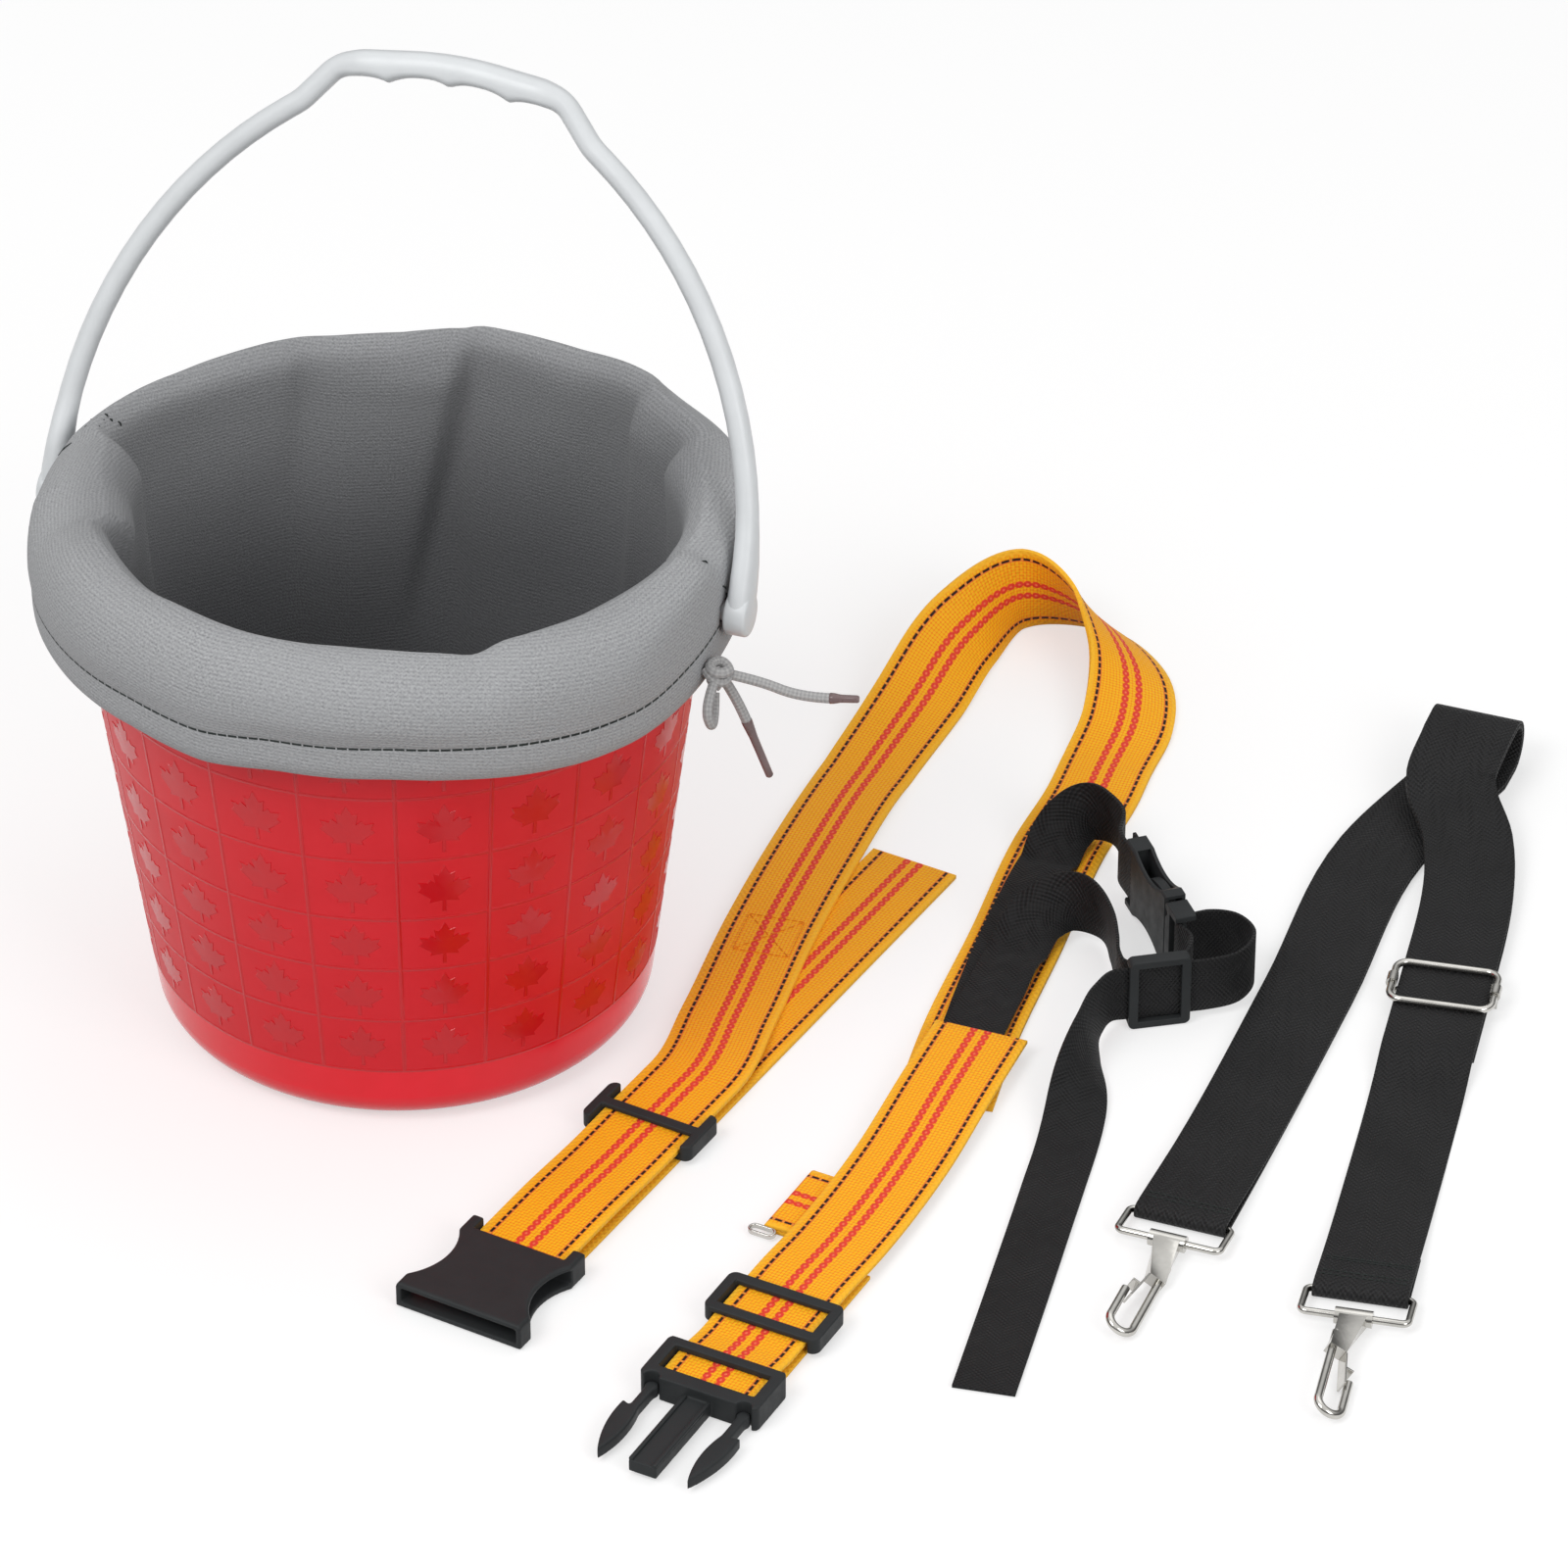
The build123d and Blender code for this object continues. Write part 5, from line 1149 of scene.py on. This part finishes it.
ring_turn = RING_WIRE + LAYER + STRAP_THICK / 2
ring_height, ring_level = STRAP_THICK / 2 + ring_turn, 2 * ring_turn
bar_level = strap_pitch + 2 * BAR_WIRE + LAYER
crest_run = heading(CREST_TURN)
crest_at = floor_spot(CREST_AT) - crest_run * CREST_BEND
crest_middle = crest_at + UP * (STRAP_THICK / 2 + CREST_BEND)


def crest_row(reach, level):
    """Route row behind the crest's middle."""
    point = crest_at - crest_run * reach
    return (point.x - LAYOUT_X, point.y, level, 0)


def right_rows(low, high):
    """The right leg from the slider to the crest, with its level there and at the crest."""
    rows = straight(RING_2, [(STRAP_SLIDER + step, low) for step in (-40, -34, 0, 34, 40)])
    rows += [(*STRAP_RIGHT_POINT, 3 * strap_pitch + high - 2 * CREST_BEND + 3.0, 0)]
    return rows + [crest_row(34, high - 7.5), crest_row(12, high - 0.8)]


stations = lay(right_rows(0, 2 * CREST_BEND - strap_pitch), STRAP)
stations += bend(crest_middle, crest_run, UP, CREST_BEND - strap_pitch)[::-1]
route = [crest_row(12, strap_pitch)] + flat_rows(STRAP_LEFT_LEG[::-1], strap_pitch)
stations += lay(route + straight(RING_1, [(50, strap_pitch), (4, ring_level)]), STRAP)
stations += round_bar(RING_1, ring_height, ring_turn)[::-1]
route = straight(RING_1, [(4, 0), (50, 0)]) + flat_rows(STRAP_LEFT_LEG, 0) + [crest_row(12, 0)]
stations += lay(route, STRAP) + bend(crest_middle, crest_run, UP, CREST_BEND)
route = straight(RING_2, [(4, ring_level), (34, strap_pitch), (70, 0.0), (STRAP_SLIDER - 60, 1.0)])
stations += lay(route + right_rows(bar_level, 2 * CREST_BEND), STRAP)[::-1]
stations += round_bar(RING_2, ring_height, ring_turn)[::-1]
stations += lay(straight(RING_2, [(4, 0), (STRAP_SEWN, 0)]), STRAP)
webbing("shoulder_strap_webbing", stations, STRAP, "shoulder_webbing")


# Mouldings and metal: the CAD forms with their edges softened
def softened(node, soft, finish, slot, body, melt=0):
    """A copy of a CAD form with rounded edges, in place of the form; melted forms lose their corners too."""
    clear_pick()
    made = nodes[node].copy()
    made.data = nodes[node].data.copy()
    scene.collection.objects.link(made)
    made.parent = None
    made.matrix_world = Matrix.Identity(4)
    pick(made)
    made = christen(node + "_moulded")
    outward(made, flat=0.6)
    rounded(made, soft, 3, 28)
    outward(made, FINE_MERGE)
    if melt:
        dress(made, "REMESH", mode="VOXEL", voxel_size=0.00045)
        dress(made, "SMOOTH", factor=0.5, iterations=melt)
    smooth(made, 50)
    dress(made, "WEIGHTED_NORMAL", weight=60, keep_sharp=True)
    return fit(made, body, finish, slot, node)


# Node, rounding, body and steps of melting
for node, soft, body, melt in (
    ("belt_slider_upper", 1.0, "belt_slider_upper", 0), ("belt_slider_lower", 1.0, "belt_slider_lower", 0),
    ("sling_socket", 0.5, "belt", 0), ("sling_plug", 0.5, "belt", 0), ("sling_prong_low", 0.4, "sling_prong_low", 0),
    ("sling_prong_high", 0.4, "sling_prong_high", 0), ("sling_slider", 0.5, "belt", 0),
    ("belt_socket", 0.6, "belt", 10), ("belt_plug", 0.6, "belt", 6), ("belt_prong_left", 0.6, "belt_prong_left", 20),
    ("belt_prong_right", 0.6, "belt_prong_right", 20),
):
    softened(node, soft, black_plastic, "black_plastic", body, melt)
for node, soft, body in (
    ("hook_1_body", 0.4, "hook_1"), ("hook_2_body", 0.4, "hook_2"), ("belt_clip", 0.4, "belt"),
    ("hook_1_gate", 0.25, "hook_1_gate"), ("hook_2_gate", 0.25, "hook_2_gate"),
):
    softened(node, soft, nickel, "nickel", body)
for node in ("strap_slider_frame", "strap_slider_bar", "hook_1_ring", "hook_1_wire", "hook_2_ring", "hook_2_wire"):
    paint(nodes[node], nickel)

# Raised edges of the belt plug's guide tongue
TONGUE_HALF, TONGUE_LONG, TONGUE_ROOT, TONGUE_TOP = 6.0, 44.0, -11.4, 2.7
TONGUE_EDGE_WIDE, TONGUE_EDGE_HIGH = 1.8, 1.5
edges = []
for way in (-1, 1):
    clear_pick()
    bpy.ops.mesh.primitive_cube_add(size=1)
    edge = christen("tongue_edge")
    for vertex in edge.data.vertices:
        x, y, z = vertex.co
        spot = floor_spot(BELT_PLUG[0], bar_height + TONGUE_TOP + z * TONGUE_EDGE_HIGH + 0.3)
        spot += tab_along * (TONGUE_ROOT - TONGUE_LONG / 2 + y * (TONGUE_LONG - 0.6))
        vertex.co = (spot - tab_out * (way * (TONGUE_HALF - TONGUE_EDGE_WIDE / 2) + x * TONGUE_EDGE_WIDE)) / 1000
    outward(edge)
    rounded(edge, 0.5, 3, 50)
    edges.append(edge)
fit_joined(edges, "belt_tongue_edges", 50, "belt", black_plastic, "black_plastic")


# Sewing
def drop(piece, point):
    """The place on a piece's upper side at a place on the floor, in metres."""
    return piece.ray_cast(Vector((point.x / 1000, point.y / 1000, 0.4)), -UP)[1]


def seam(piece, start, end, count, radius):
    """A row of stitches on a piece, between two places on the floor in millimetres."""
    threads = []
    for k in range(count):
        spots = [drop(piece, start.lerp(end, (k + share) / count)) for share in (0.1, 0.3, 0.5, 0.7, 0.9)]
        spots = [spot + UP * (lift / 1000) for spot, lift in zip(spots, (-0.1, 0.16, 0.24, 0.16, -0.1))]
        threads.append(cord_tube("stitch", spots, radius / 1000, 8))
    return threads


def on_cloth(turn, row, lift):
    """A point above the liner's cloth at one of its turns and rows, in metres."""
    around = sections[turn + 1][row] - sections[turn - 1][row]
    along = sections[turn][row + 1] - sections[turn][row - 1]
    return sections[turn][row] + around.cross(along).normalized() * (lift / 1000)


def tack(start, end):
    """One stitch on the liner between two pairs of turn and row."""
    a, b = on_cloth(*start, TACK_LOW), on_cloth(*end, TACK_LOW)
    middle = (on_cloth(*start, TACK_HIGH) + on_cloth(*end, TACK_HIGH)) / 2
    return cord_tube("stitch", [a, a.lerp(middle, 0.6), middle, b.lerp(middle, 0.6), b], TACK_RADIUS, 8)


bpy.context.view_layer.update()
TACK_LOW, TACK_HIGH, TACK_RADIUS = 1.15, 1.75, 0.00035    # above the middle of the cloth, and half the thread
# A cross and a few dashes where the left leg of the bail meets the cuff, and the mended edge of the right slit
TACKS = [
    ((106, 37), (108, 43)), ((108, 37), (106, 43)), ((105, 41), (105, 43)), ((105, 45), (105, 47)),
    ((104, 49), (104, 51)), ((110, 33), (111, 30)), ((227, 27), (228, 25)), ((228, 24), (228, 22)),
    ((228, 21), (229, 19)), ((226, 35), (225, 36)),
]
threads = [tack(start, end) for start, end in TACKS]
fit_joined(threads, "liner_tacks", 60, "bucket", dark_thread, "liner_cloth")

threads = []
for (ring, turn), reaches in ((RING_2, (6.0, 9.0, 18.0, 19.6)), (RING_1, (6.0, 9.0))):
    run = heading(turn)
    across = rightward(run) * (STRAP_WIDE / 2 - 1.5)
    for reach in reaches:
        spot = floor_spot(ring) + run * reach
        threads += seam(bpy.data.objects["shoulder_strap_webbing"], spot - across, spot + across, 13, 0.3)
fit_joined(threads, "strap_seams", 60, "strap", dark_thread, "black_webbing")

# A sewn box with a cross, where the belt's tail is held under its left leg
BOX_AT, BOX_TURN, BOX_LONG, BOX_WIDE = (49.0, 25.0), 15.3, 13.0, 12.0
run = heading(BOX_TURN)
corners = [
    floor_spot(BOX_AT) + run * (BOX_LONG * a) + rightward(run) * (BOX_WIDE * b)
    for a, b in ((-1, -1), (1, -1), (1, 1), (-1, 1))
]
threads = []
for first, second in ((0, 1), (1, 2), (2, 3), (3, 0), (0, 2), (1, 3)):
    threads += seam(bpy.data.objects["belt_main_webbing"], corners[first], corners[second], 8, 0.2)
fit_joined(threads, "belt_sewn_box", 60, "belt", amber_thread, "belt_webbing")
